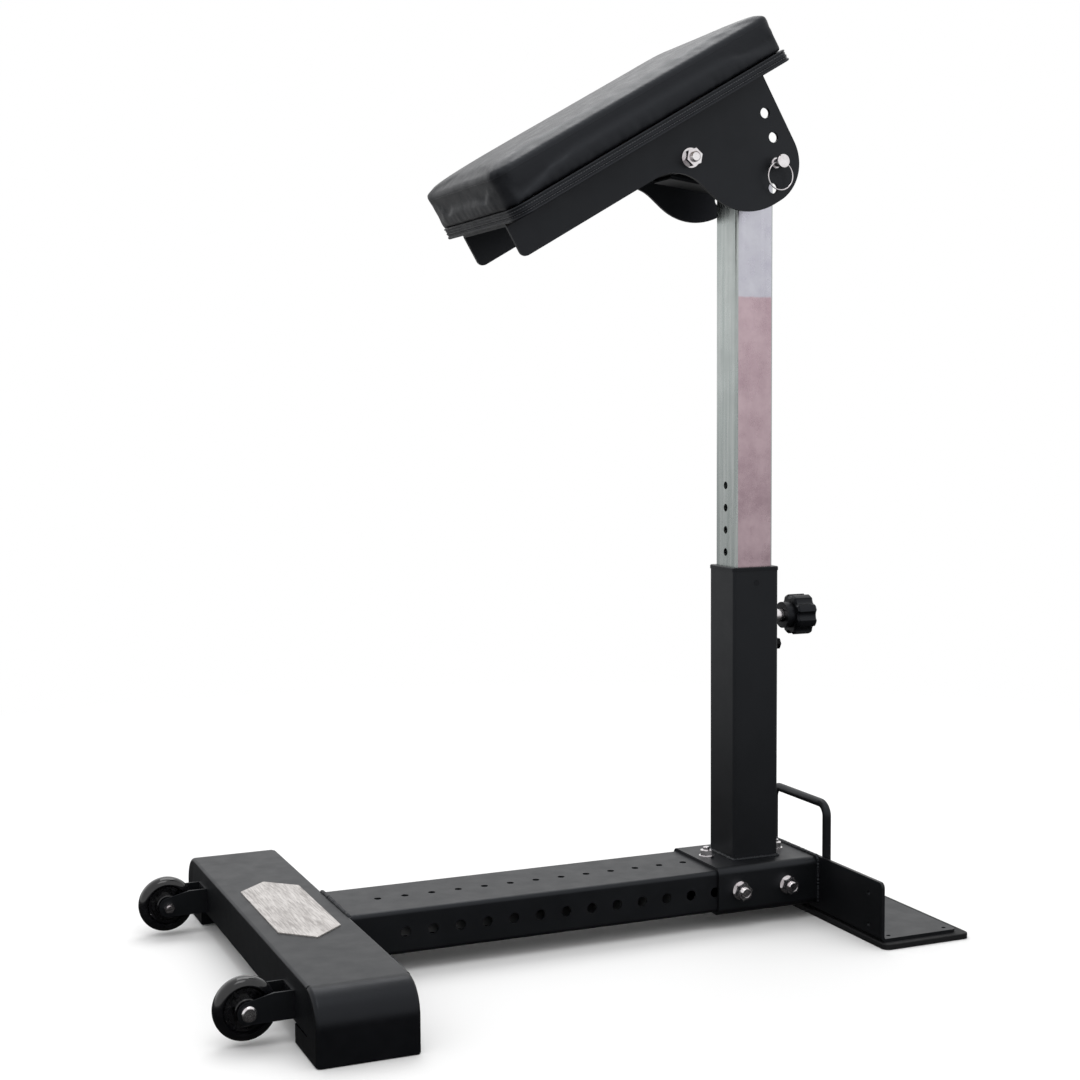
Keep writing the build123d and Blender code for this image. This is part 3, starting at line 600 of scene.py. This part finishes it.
def hugging_path(name, loop, lift, cover, sink):
    """A closed path that follows the cover's own side at the height lift."""
    work = bmesh.new()
    work.from_mesh(cover.data)
    tree = BVHTree.FromBMesh(work)
    work.free()
    clear = 0.03
    points = []
    for s, y, ds, dy in loop:
        out = (ds * SLOPE + Vector((0.0, dy, 0.0))).normalized()
        start = on_pad(s, y, lift) + clear * out
        hit = tree.ray_cast(start, -out)[0]
        if hit is not None:
            points.append(hit - sink * out)
    return new_mesh(name, points, edges=ring_edges(len(points)))


# ---------------- settings ----------------
def colour(name, description, default):
    return bpy.props.FloatVectorProperty(
        name=name, description=description, default=default, subtype="COLOR", size=3, min=0.0, max=1.0
    )


def number(name, description, default, **limits):
    return bpy.props.FloatProperty(name=name, description=description, default=default, **limits)


def length(name, description, default):
    return number(name, description, default, unit="LENGTH", subtype="DISTANCE", min=0.0)


class StandLook(bpy.types.PropertyGroup):
    """Colours of every finish on the stand."""

    coat_dark: colour("Coat, deep", "Powder coat in its darker patches", (0.0032, 0.0035, 0.0042))
    coat_light: colour("Coat, dusty", "Powder coat in its lighter patches", (0.0058, 0.0062, 0.0072))
    mould_dark: colour("Moulding, deep", "Black moulding in its darker patches", (0.003, 0.0032, 0.004))
    mould_light: colour("Moulding, dusty", "Black moulding in its lighter patches", (0.0055, 0.0057, 0.0068))
    # The post's wall colours below hold the plating's hue and mottle together with painted reflection: each wall
    # is coloured for the light it faces.
    tint_front: colour("Post front", "Plating on the post's front and rear walls", (0.53, 0.56, 0.55))
    tint_front_dark: colour("Post front streaks", "Vertical streaks in that plating", (0.36, 0.40, 0.39))
    tint_side: colour("Post side", "Plating on the post's side walls", (0.60, 0.46, 0.50))
    tint_side_dark: colour("Post side mottle", "Mottle in that plating", (0.44, 0.32, 0.36))
    tint_top: colour("Post side, upper", "Plating on the upper length of the side walls", (0.62, 0.62, 0.68))
    tint_top_dark: colour("Post side mottle, upper", "Mottle in that plating", (0.48, 0.47, 0.54))
    zinc_light: colour("Zinc", "Bright zinc on bolts, nuts and washers", (0.80, 0.78, 0.79))
    zinc_dark: colour("Zinc tarnish", "Duller patches of that zinc", (0.60, 0.55, 0.57))
    badge_light: colour("Badge", "Brushed blank plate", (0.70, 0.67, 0.65))
    badge_dark: colour("Badge strokes", "Strokes in the brushed plate", (0.33, 0.31, 0.30))
    vinyl_dark: colour("Vinyl, deep", "Upholstery vinyl in its darker patches", (0.003, 0.0033, 0.0044))
    vinyl_light: colour("Vinyl, light", "Upholstery vinyl in its lighter patches", (0.005, 0.0055, 0.007))
    thread_dark: colour("Thread, deep", "Stitching thread", (0.05, 0.052, 0.058))
    thread_light: colour("Thread, light", "Lighter strands of that thread", (0.12, 0.124, 0.132))
    wheel_dark: colour("Wheel", "Glossy black wheel", (0.003, 0.003, 0.004))
    wheel_light: colour("Wheel scuffs", "Scuffed patches of the wheel", (0.009, 0.009, 0.0105))
    wood_light: colour("Board", "Plywood under the cushion", (0.52, 0.37, 0.22))
    wood_dark: colour("Board grain", "Grain of that plywood", (0.33, 0.21, 0.11))
    stroke_angle: number("Stroke angle", "Direction of the badge's brushed strokes, in degrees", 38.0)


class CushionSize(bpy.types.PropertyGroup):
    """Shape of the cushion and of the band round its foot."""

    edge_height: length("Edge height", "Height of the cushion's upper edge above the pivot", 0.126)
    crown: length("Crown", "Rise of the middle above the upper edge", 0.010)
    edge_radius: length("Edge radius", "Rounding of the upper edge", 0.0065)
    flare: length("Flare", "How far the sides lean out towards the top", 0.003)
    voxel: length("Cloth cell", "Size of the simulated cloth's cells", 0.0055)
    most_swell: length("Most swell", "Furthest that pressure may move the cloth", 0.0035)
    pressure: number("Pressure", "Filling pressure of the cushion", 4.0)
    pucker: length("Pucker", "Depth of the gathers above the band", 0.0008)
    seam_drop: length("Seam drop", "Height of the seam under the upper edge", 0.0105)
    cord: length("Piping", "Radius of the piping cords on the band", 0.00115)
    stitch: length("Stitch", "Distance from stitch to stitch", 0.0044)


class WheelSize(bpy.types.PropertyGroup):
    """Shape of the transport wheels."""

    shoulder: length("Shoulder", "Rounding of the tread's edges", 0.0105)
    spokes: bpy.props.IntProperty(name="Spokes", description="Number of spokes in each hub", default=6, min=3)
    spoke_width: length("Spoke width", "Width of one spoke", 0.0055)


class JoinSize(bpy.types.PropertyGroup):
    """Sizes of weld beads and of thread crests."""

    bead: length("Bead", "Radius of a weld bead's scales", 0.0036)
    bead_step: length("Bead step", "Distance between those scales", 0.0017)
    crest: length("Crest", "Height of a thread crest", 0.00042)


class StudioSet(bpy.types.PropertyGroup):
    """Floor, light and camera."""

    floor: colour("Floor", "Pale floor", (0.86, 0.86, 0.86))
    sky: colour("Surround", "Pale surround", (1.0, 1.0, 1.0))
    sky_strength: number("Surround strength", "Light of the surround", 1.0)
    # Strengths of the floor's painted glow in reflections and bounced light: dim near the stand as painted shade,
    # brighter further out.
    near_painted_glow: number("Near bounce", "Light that the floor throws back from under the stand", 0.03)
    far_painted_glow: number("Far bounce", "Light that the floor throws back from further out", 0.5)
    lens: number("Lens", "Focal length in mm", 58.26)
    sensor: number("Sensor", "Sensor width in mm", 36.0)
    stand_at: bpy.props.FloatVectorProperty(
        name="Camera place", description="Where the camera stands", default=(-0.98679, -2.30291, 0.76566)
    )
    yaw: number("Yaw", "Turn from +Y towards +X", math.radians(22.9), subtype="ANGLE")
    pitch: number("Pitch", "Tip upwards", math.radians(-4.19), subtype="ANGLE")
    roll: number("Roll", "Turn about the line of sight", math.radians(-0.37), subtype="ANGLE")


# ---------------- operators ----------------
FRONT_CORNER = 0.026
REAR_CORNER = 0.012
BAND_CORNER = 0.028
FILL_FRAMES = 20
BOLT_CREST_R = 0.0069
BOLT_PITCH = 0.002
FINISHES = {
    "frame_black": powder_coat,
    "moulded_black": moulded,
    "bush_plastic": bush_polymer,
    "mat_rubber": rubber,
    "badge_steel": brushed_badge,
    "plated_post": plated,
    "zinc_fastener": zinc,
    "black_fastener": black_oxide,
    "bearing_steel": zinc,
    "wheel_tread": lambda look: wheel_gloss(look, "wheel_tread_gloss", 0.1),
    "wheel_hub": lambda look: wheel_gloss(look, "wheel_hub_gloss", 0.22),
    "plywood": plywood,
    "vinyl": vinyl,
    "vinyl_welt": vinyl,
}
MADE = {}


def finish_for(slot):
    """The material of a slot, made once."""
    maker = FINISHES[slot]
    if maker not in MADE:
        MADE[maker] = maker(bpy.context.scene.stand_look)
    return MADE[maker]


class STAND_OT_finish_metalwork(bpy.types.Operator):
    """Give every CAD part its own finish."""

    bl_idname = "stand.finish_metalwork"
    bl_label = "Finish Metalwork"

    def execute(self, context):
        for part in frame["record"]["subparts"]:
            material = finish_for(part["material_slot"])
            holder = NODES[part["node"]].data.materials
            holder.clear()
            holder.append(material)
        return {"FINISHED"}


class STAND_OT_sew_cushion(bpy.types.Operator):
    """Blow up the cushion under its vinyl cover and sew its upper seam."""

    bl_idname = "stand.sew_cushion"
    bl_label = "Sew Cushion"

    def execute(self, context):
        size = context.scene.cushion_size
        (front, rear), (_, half), (foot, _) = pad_extent("pad_cushion")
        form = self.rough_form(size, front, rear, half, foot)
        cover = self.swell(size, form, foot)
        self.gather(size, cover, foot)
        wear(cover, "pad", finish_for("vinyl"), "vinyl", "pad_cushion")
        self.seam(size, cover, front, rear, half)
        return {"FINISHED"}

    def rough_form(self, size, front, rear, half, foot):
        """Closed form: a waisted side, a rounded upper edge and a crowned top.

        Each ring is a height, an inset and a share of the way from the rim to the middle line.
        """
        loop = plan_loop(front, rear, half, FRONT_CORNER, REAR_CORNER, 0.006)
        spine_front = front + half
        spine_rear = rear - half
        top = size.edge_height
        tucked, waist = 0.0012, 0.0008
        edge_steps = 6
        rings = [(foot + 0.001, tucked, 0.0), (foot + 0.006, tucked, 0.0), (foot + 0.022, waist, 0.0)]
        rings.append((top - 0.03, waist - size.flare * 0.5, 0.0))
        for k in range(edge_steps + 1):
            angle = math.pi / 2 * k / edge_steps
            drop = size.edge_radius * (1 - math.sin(angle))
            inset = size.edge_radius * (1 - math.cos(angle)) - size.flare
            rings.append((top - drop, inset, 0.0))
        for share in (0.06, 0.14, 0.26, 0.4, 0.56, 0.72, 0.86, 0.95):
            rings.append((top + size.crown * (1 - (1 - share) ** 2.3), size.edge_radius - size.flare, share))
        points = []
        for height, inset, share in rings:
            for s, y, ds, dy in loop:
                lean = inset + 0.5 * size.flare * ds
                rim = Vector((s - lean * ds, y - lean * dy))
                spine = Vector((min(max(s, spine_front), spine_rear), 0.0))
                at = rim.lerp(spine, share)
                points.append(on_pad(at.x, at.y, height))
        count = len(loop)
        faces = ring_faces(len(rings), count, False)
        faces.append(tuple(range(count))[::-1])
        last = (len(rings) - 1) * count
        faces.append(tuple(last + k for k in range(count)))
        return outwards(new_mesh("cushion_form", points, faces))

    def swell(self, size, form, foot):
        """Remeshes the form and lets pressure fill it, held at its foot."""
        remesh = form.modifiers.new("cells", "REMESH")
        remesh.mode = "VOXEL"
        remesh.voxel_size = size.voxel
        form = baked(form, "cushion_cells")
        rest = [vertex.co.copy() for vertex in form.data.vertices]
        held = form.vertex_groups.new(name="held")
        low = [k for k, co in enumerate(rest) if (co - PIVOT).dot(RISE) < foot + 0.004]
        held.add(low, 1.0, "REPLACE")
        cloth = form.modifiers.new("fill", "CLOTH")
        cloth.settings.quality = 6
        cloth.settings.mass = 0.35
        cloth.settings.use_pressure = True
        cloth.settings.uniform_pressure_force = size.pressure
        cloth.settings.effector_weights.gravity = 0.0
        cloth.settings.vertex_group_mass = "held"
        cloth.point_cache.frame_start = 1
        cloth.point_cache.frame_end = FILL_FRAMES
        for step in range(1, FILL_FRAMES + 1):
            bpy.context.scene.frame_set(step)
        form = baked(form, "cushion_blown")
        bpy.context.scene.frame_set(1)
        for vertex, start in zip(form.data.vertices, rest):
            move = vertex.co - start
            if move.length > size.most_swell:
                vertex.co = start + move * (size.most_swell / move.length)
        rounder = form.modifiers.new("round", "SUBSURF")
        rounder.levels = 1
        rounder.render_levels = 1
        return baked(form, "cushion_cover")

    def gather(self, size, cover, foot):
        """Gathers above the band and a faint unevenness everywhere."""
        gather_at, gather_reach = 0.010, 0.016
        uneven = 0.0002
        normals = [vertex.normal.copy() for vertex in cover.data.vertices]
        places = []
        for vertex, normal in zip(cover.data.vertices, normals):
            away = vertex.co - PIVOT
            height = away.dot(RISE)
            along = Vector((away.dot(SLOPE), away.y, 0.0))
            near_foot = max(0.0, 1.0 - abs(height - foot - gather_at) / gather_reach)
            fold = noise.noise(Vector((along.x * 85.0, along.y * 85.0, height * 22.0)))
            slow = noise.noise(Vector((along.x * 14.0, along.y * 14.0, height * 9.0)))
            places.extend(vertex.co + normal * (size.pucker * near_foot * fold + uneven * slow))
        cover.data.vertices.foreach_set("co", places)
        cover.data.update()
        smooth(cover)

    def seam(self, size, cover, front, rear, half):
        """A stitched seam under the upper edge."""
        loop = plan_loop(front, rear, half, FRONT_CORNER, REAR_CORNER, 0.002)
        lift = size.edge_height - size.seam_drop
        path = hugging_path("seam_path", loop, lift, cover, 0.0003)
        cord = apply_tree(path, cord_tree(), "cushion_seam", finish_for("vinyl"), Radius=0.0006)
        smooth(cord)
        wear(cord, "pad", finish_for("vinyl"), "vinyl")


class STAND_OT_bind_band(bpy.types.Operator):
    """Bind the cushion's foot with a band, its piping and its stitches."""

    bl_idname = "stand.bind_band"
    bl_label = "Bind Band"

    def execute(self, context):
        size = context.scene.cushion_size
        (front, rear), (_, half), (low, high) = pad_extent("pad_band")
        loop = plan_loop(front, rear, half, BAND_CORNER, REAR_CORNER, 0.0035)
        band = self.strap(loop, low, high)
        wear(band, "pad", finish_for("vinyl_welt"), "vinyl_welt", "pad_band")
        cords = cord_tree()
        stitches = stitch_tree()
        thread = thread_black(context.scene.stand_look)
        third = (high - low) / 3
        welt = finish_for("vinyl_welt")
        cord_runs = ((low + 0.0016, 0.0013), (low + 0.48 * (high - low), 0.0021), (high - 0.0010, 0.0021))
        for index, (lift, inset) in enumerate(cord_runs):
            path = loop_object("piping_path", loop, lift, inset)
            cord = apply_tree(path, cords, f"band_piping_{index + 1}", welt, Radius=size.cord)
            smooth(cord)
            wear(cord, "pad", welt, "vinyl_welt")
        for index, lift in enumerate((low + 1.05 * third, low + 2.2 * third)):
            path = loop_object("stitch_path", loop, lift, 0.0019)
            row = apply_tree(path, stitches, f"band_stitches_{index + 1}", thread, Step=size.stitch)
            wear(row, "pad", thread, "vinyl_welt")
        return {"FINISHED"}

    def strap(self, loop, low, high):
        """A closed strap round the board: proud lip at its foot, soft edge at its head."""
        inner = 0.0029
        ledge = 0.011
        outer_points = 7
        profile = (
            (low, 0.0012),
            (low + 0.0008, 0.0006),
            (low + 0.0030, 0.0008),
            (low + 0.0042, 0.0022),
            (low + 0.0090, 0.0021),
            (high - 0.0030, 0.0021),
            (high - 0.0006, 0.0023),
            (high + 0.0006, 0.0032),
            (high + 0.0006, ledge),
            (high + 0.00002, ledge),
            (high + 0.00002, inner),
            (low, inner),
        )
        points = []
        for s, y, ds, dy in loop:
            ripple = 0.00025 * noise.noise(Vector((s * 60.0, y * 60.0, 0.0)))
            for index, (lift, inset) in enumerate(profile):
                depth = inset - ripple if index < outer_points else inset
                points.append(on_pad(s - depth * ds, y - depth * dy, lift))
        strap = outwards(new_mesh("band_strap", points, ring_faces(len(loop), len(profile), True)))
        smooth(strap, 40)
        return strap


class STAND_OT_mould_wheels(bpy.types.Operator):
    """Mould both transport wheels: tread and spoked hub."""

    bl_idname = "stand.mould_wheels"
    bl_label = "Mould Wheels"

    def execute(self, context):
        size = context.scene.wheel_size
        spokes = spoke_tree()
        for side in ("left", "right"):
            low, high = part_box("tyre_" + side)
            centre = (low + high) / 2
            radius = (high.z - low.z) / 2
            half = (high.y - low.y) / 2
            hub_low, hub_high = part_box("hub_" + side)
            rim = (hub_high.z - hub_low.z) / 2
            body = "wheel_" + side
            self.tread(size, side, body, centre, radius, half, rim)
            self.hub(size, side, body, centre, rim, (hub_high.y - hub_low.y) / 2, half, spokes)
        return {"FINISHED"}

    def tread(self, size, side, body, centre, radius, half, rim):
        """A round-shouldered tyre on the hub's rim."""
        round_r = size.shoulder
        round_steps = 8
        profile = [(rim - 0.0002, -half + 0.004), (rim + 0.002, -half + 0.0012), (rim + 0.004, -half)]
        for k in range(round_steps + 1):
            angle = math.pi / 2 * k / round_steps
            out = radius - round_r + round_r * math.sin(angle)
            profile.append((out, -half + round_r - round_r * math.cos(angle)))
        tread = lathe("tread_" + side, mirrored(profile), centre, 96)
        smooth(tread, 50)
        wear(tread, body, finish_for("wheel_tread"), "wheel_tread", "tyre_" + side)

    def hub(self, size, side, body, centre, rim, deep, half, spokes):
        """A rim ring, a core round the bearings, a thin disc and the spokes, joined as one piece."""
        core = 0.0155
        bore = 0.0113
        web = half - 0.0045
        disc_half = 0.0025
        ring = [(rim - 0.0005, -web), (rim - 0.0035, -web), (rim - 0.0042, -web + 0.002)]
        barrel = [(bore, -deep), (core - 0.0012, -deep), (core - 0.0002, -deep + 0.0012), (core, -web)]
        disc = [(rim - 0.0015, -disc_half), (core - 0.001, -disc_half)]
        parts = [
            lathe("hub_ring", mirrored(ring), centre, 72),
            lathe("hub_core", mirrored(barrel), centre, 48),
            lathe("hub_disc", mirrored(disc), centre, 72),
        ]
        middle = (rim + core) / 2 - 0.001
        path_points = []
        for k in range(size.spokes):
            angle = 2 * math.pi * k / size.spokes
            path_points.append(centre + Vector((middle * math.cos(angle), 0.0, middle * math.sin(angle))))
        path = new_mesh("spoke_path", path_points, edges=ring_edges(size.spokes))
        spoke = {"Long": rim - core, "Thick": size.spoke_width, "Deep": 2 * web - 0.001}
        bars = apply_tree(path, spokes, "hub_bars", finish_for("wheel_hub"), **spoke)
        joined = bmesh.new()
        for part in [*parts, bars]:
            joined.from_mesh(part.data)
            bpy.data.objects.remove(part)
        mesh = bpy.data.meshes.new("spoked_hub_" + side)
        joined.to_mesh(mesh)
        joined.free()
        hub = add_object("spoked_hub_" + side, mesh)
        smooth(hub, 35)
        wear(hub, body, finish_for("wheel_hub"), "wheel_hub", "hub_" + side)


class STAND_OT_wind_spring(bpy.types.Operator):
    """Make a smooth bright zinc copy of the plunger's spring."""

    bl_idname = "stand.wind_spring"
    bl_label = "Wind Spring"

    def execute(self, context):
        mesh = NODES["plunger_spring"].data.copy()
        spring = add_object("wound_spring", mesh)
        work = bmesh.new()
        work.from_mesh(mesh)
        bmesh.ops.remove_doubles(work, verts=work.verts, dist=1e-6)
        work.to_mesh(mesh)
        work.free()
        smooth(spring, 50)
        wear(spring, "base", finish_for("zinc_fastener"), "zinc_fastener", "plunger_spring")
        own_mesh(spring)
        return {"FINISHED"}


class STAND_OT_cut_threads(bpy.types.Operator):
    """Raise thread crests on the bolt ends that show."""

    bl_idname = "stand.cut_threads"
    bl_label = "Cut Threads"

    def execute(self, context):
        size = context.scene.join_size
        crests = ridge_tree()
        steel = finish_for("zinc_fastener")
        cut = {"Radius": BOLT_CREST_R, "Pitch": BOLT_PITCH, "Crest": size.crest}
        for name, body, lines in self.runs():
            made = apply_tree(open_paths("thread_path", lines), crests, name, steel, **cut)
            smooth(made, 60)
            wear(made, body, steel, "zinc_fastener")
        return {"FINISHED"}

    def runs(self):
        """(name, body, axis lines) of every threaded end."""
        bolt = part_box("side_bolts")
        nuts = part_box("side_nuts")
        nut_half = 0.0122
        xs = (nuts[0].x + nut_half, nuts[1].x - nut_half)
        z = (nuts[0].z + nuts[1].z) / 2
        side = [(Vector((x, bolt[0].y + 0.0008, z)), Vector((x, nuts[0].y, z))) for x in xs]
        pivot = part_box("pivot_bolt")
        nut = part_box("pivot_nut")
        middle = Vector((PIVOT.x, 0, PIVOT.z))
        tip = [(middle + Vector((0, pivot[0].y + 0.0012, 0)), middle + Vector((0, nut[0].y, 0)))]
        return (("side_bolt_crests", "base", side), ("pivot_bolt_crests", "pad", tip))


class STAND_OT_lay_welds(bpy.types.Operator):
    """Lay weld beads where the tubes and plates meet."""

    bl_idname = "stand.lay_welds"
    bl_label = "Lay Welds"
    proud = 0.0005
    corner = 0.004

    def execute(self, context):
        size = context.scene.join_size
        coat = finish_for("frame_black")
        path = open_paths("weld_path", self.lines())
        made = apply_tree(path, bead_tree(), "base_welds", coat, Radius=size.bead, Step=size.bead_step)
        smooth(made)
        wear(made, "base", coat, "frame_black")
        return {"FINISHED"}

    def lines(self):
        """Round the post's foot, then over the beam at the crossbar and over the sleeve at the plate."""
        low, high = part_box("outer_post")
        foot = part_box("base_sleeve")[1].z + self.proud
        plan = ((low.x, low.y), (high.x, low.y), (high.x, high.y), (low.x, high.y), (low.x, low.y))
        return (
            [Vector((x, y, foot)) for x, y in plan],
            self.arch(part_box("crossbar")[1].x, *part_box("main_beam")),
            self.arch(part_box("rear_plate")[0].x, *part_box("base_sleeve")),
        )

    def arch(self, x, low, high):
        """Up one side of a tube, over its top and down the other side, cutting its round corners."""
        return [
            Vector((x, low.y - self.proud, low.z + self.corner)),
            Vector((x, low.y - self.proud, high.z - self.corner)),
            Vector((x, low.y + self.corner, high.z + self.proud)),
            Vector((x, high.y - self.corner, high.z + self.proud)),
            Vector((x, high.y + self.proud, high.z - self.corner)),
            Vector((x, high.y + self.proud, low.z + self.corner)),
        ]


class STAND_OT_set_studio(bpy.types.Operator):
    """Lay the floor, set the lights and place the camera."""

    bl_idname = "stand.set_studio"
    bl_label = "Set Studio"

    def execute(self, context):
        studio = context.scene.studio_set
        self.floor(studio)
        self.surround(context.scene, studio)
        self.lamps()
        self.camera(context.scene, studio)
        return {"FINISHED"}

    def floor(self, studio):
        """Pale floor with contact shadows near the stand, as bright as the surround further out. To every other
        ray it is a painted glow, dim near the stand as painted shade and brighter further out.
        """
        reach = 40.0
        sides = 96
        under = -0.0004
        turns = [2 * math.pi * k / sides for k in range(sides)]
        points = [(reach * math.cos(turn), reach * math.sin(turn), under) for turn in turns]
        floor = new_mesh("studio_floor", points, [tuple(range(sides))])
        finish = Finish("pale_floor", base_color=(*studio.floor, 1.0), specular_ior_level=0.1, roughness=0.9)
        east = finish.axis("X")
        north = finish.axis("Y")
        away = (east * east + north * north) ** 0.5
        # Painted glow seen only in reflections and bounced light: dim near the stand as painted shade on the lower
        # parts, brighter further out.
        strength = finish.range(away, 0.7, 2.6, studio.near_painted_glow, studio.far_painted_glow)
        painted_floor_glow = finish.node("ShaderNodeEmission", strength=strength)
        near = Value(finish.tree, finish.surface.outputs["BSDF"])
        shown = finish.mix(finish.range(away, 1.0, 2.4), near, finish.node("ShaderNodeEmission"))
        camera_ray = finish.node("ShaderNodeLightPath", None, "Is Camera Ray")
        whole = finish.mix(camera_ray, painted_floor_glow, shown)
        finish.tree.links.new(whole.socket, finish.output.inputs["Surface"])
        floor.data.materials.append(finish.material)

    def surround(self, scene, studio):
        world = bpy.data.worlds.new("pale_surround")
        scene.world = world
        world.use_nodes = True
        ground = world.node_tree.nodes["Background"]
        ground.inputs[0].default_value = (*studio.sky, 1.0)
        ground.inputs[1].default_value = studio.sky_strength
        scene.view_settings.view_transform = "Standard"

    def lamps(self):
        for name, place, target, across, power in (
            ("key_softbox", (-0.6, -1.6, 3.6), (0.0, 0.0, 0.6), 1.6, 18.0),
            ("top_softbox", (0.3, 1.4, 3.4), (0.0, 0.0, 0.4), 2.4, 45.0),
        ):
            lamp = bpy.data.lights.new(name, "AREA")
            lamp.shape = "SQUARE"
            lamp.size = across
            lamp.energy = power
            holder = add_object(name, lamp)
            aim = Vector(target) - Vector(place)
            holder.location = place
            holder.rotation_euler = aim.to_track_quat("-Z", "Y").to_euler()

    def camera(self, scene, studio):
        forward = Vector(
            (
                math.sin(studio.yaw) * math.cos(studio.pitch),
                math.cos(studio.yaw) * math.cos(studio.pitch),
                math.sin(studio.pitch),
            )
        )
        right = forward.cross(Vector((0, 0, 1))).normalized()
        up = right.cross(forward)
        across = right * math.cos(studio.roll) + up * math.sin(studio.roll)
        upward = up * math.cos(studio.roll) - right * math.sin(studio.roll)
        lens = bpy.data.cameras.new("studio_camera")
        lens.lens = studio.lens
        lens.sensor_width = studio.sensor
        camera = add_object("studio_camera", lens)
        turn = Matrix((across, upward, -forward)).transposed().to_4x4()
        camera.matrix_world = Matrix.Translation(studio.stand_at) @ turn
        scene.camera = camera


class STAND_PT_builder(bpy.types.Panel):
    """Builder of the support stand."""

    bl_idname = "STAND_PT_builder"
    bl_label = "Padded Support Stand"
    bl_space_type = "VIEW_3D"
    bl_region_type = "UI"
    bl_category = "Stand"

    def draw(self, context):
        for step in STEPS:
            self.layout.operator(step.bl_idname)


STEPS = (
    STAND_OT_finish_metalwork,
    STAND_OT_sew_cushion,
    STAND_OT_bind_band,
    STAND_OT_mould_wheels,
    STAND_OT_wind_spring,
    STAND_OT_cut_threads,
    STAND_OT_lay_welds,
    STAND_OT_set_studio,
)
GROUPS = {
    "stand_look": StandLook,
    "cushion_size": CushionSize,
    "wheel_size": WheelSize,
    "join_size": JoinSize,
    "studio_set": StudioSet,
}


def register():
    for name, group in GROUPS.items():
        bpy.utils.register_class(group)
        setattr(bpy.types.Scene, name, bpy.props.PointerProperty(type=group))
    for cls in (*STEPS, STAND_PT_builder):
        bpy.utils.register_class(cls)


def unregister():
    for cls in (STAND_PT_builder, *reversed(STEPS)):
        bpy.utils.unregister_class(cls)
    for name, group in GROUPS.items():
        delattr(bpy.types.Scene, name)
        bpy.utils.unregister_class(group)


def main():
    register()
    for step in STEPS:
        family, name = step.bl_idname.split(".")
        getattr(getattr(bpy.ops, family), name)()
    bpy.context.view_layer.update()


if __name__ == "__main__":
    main()
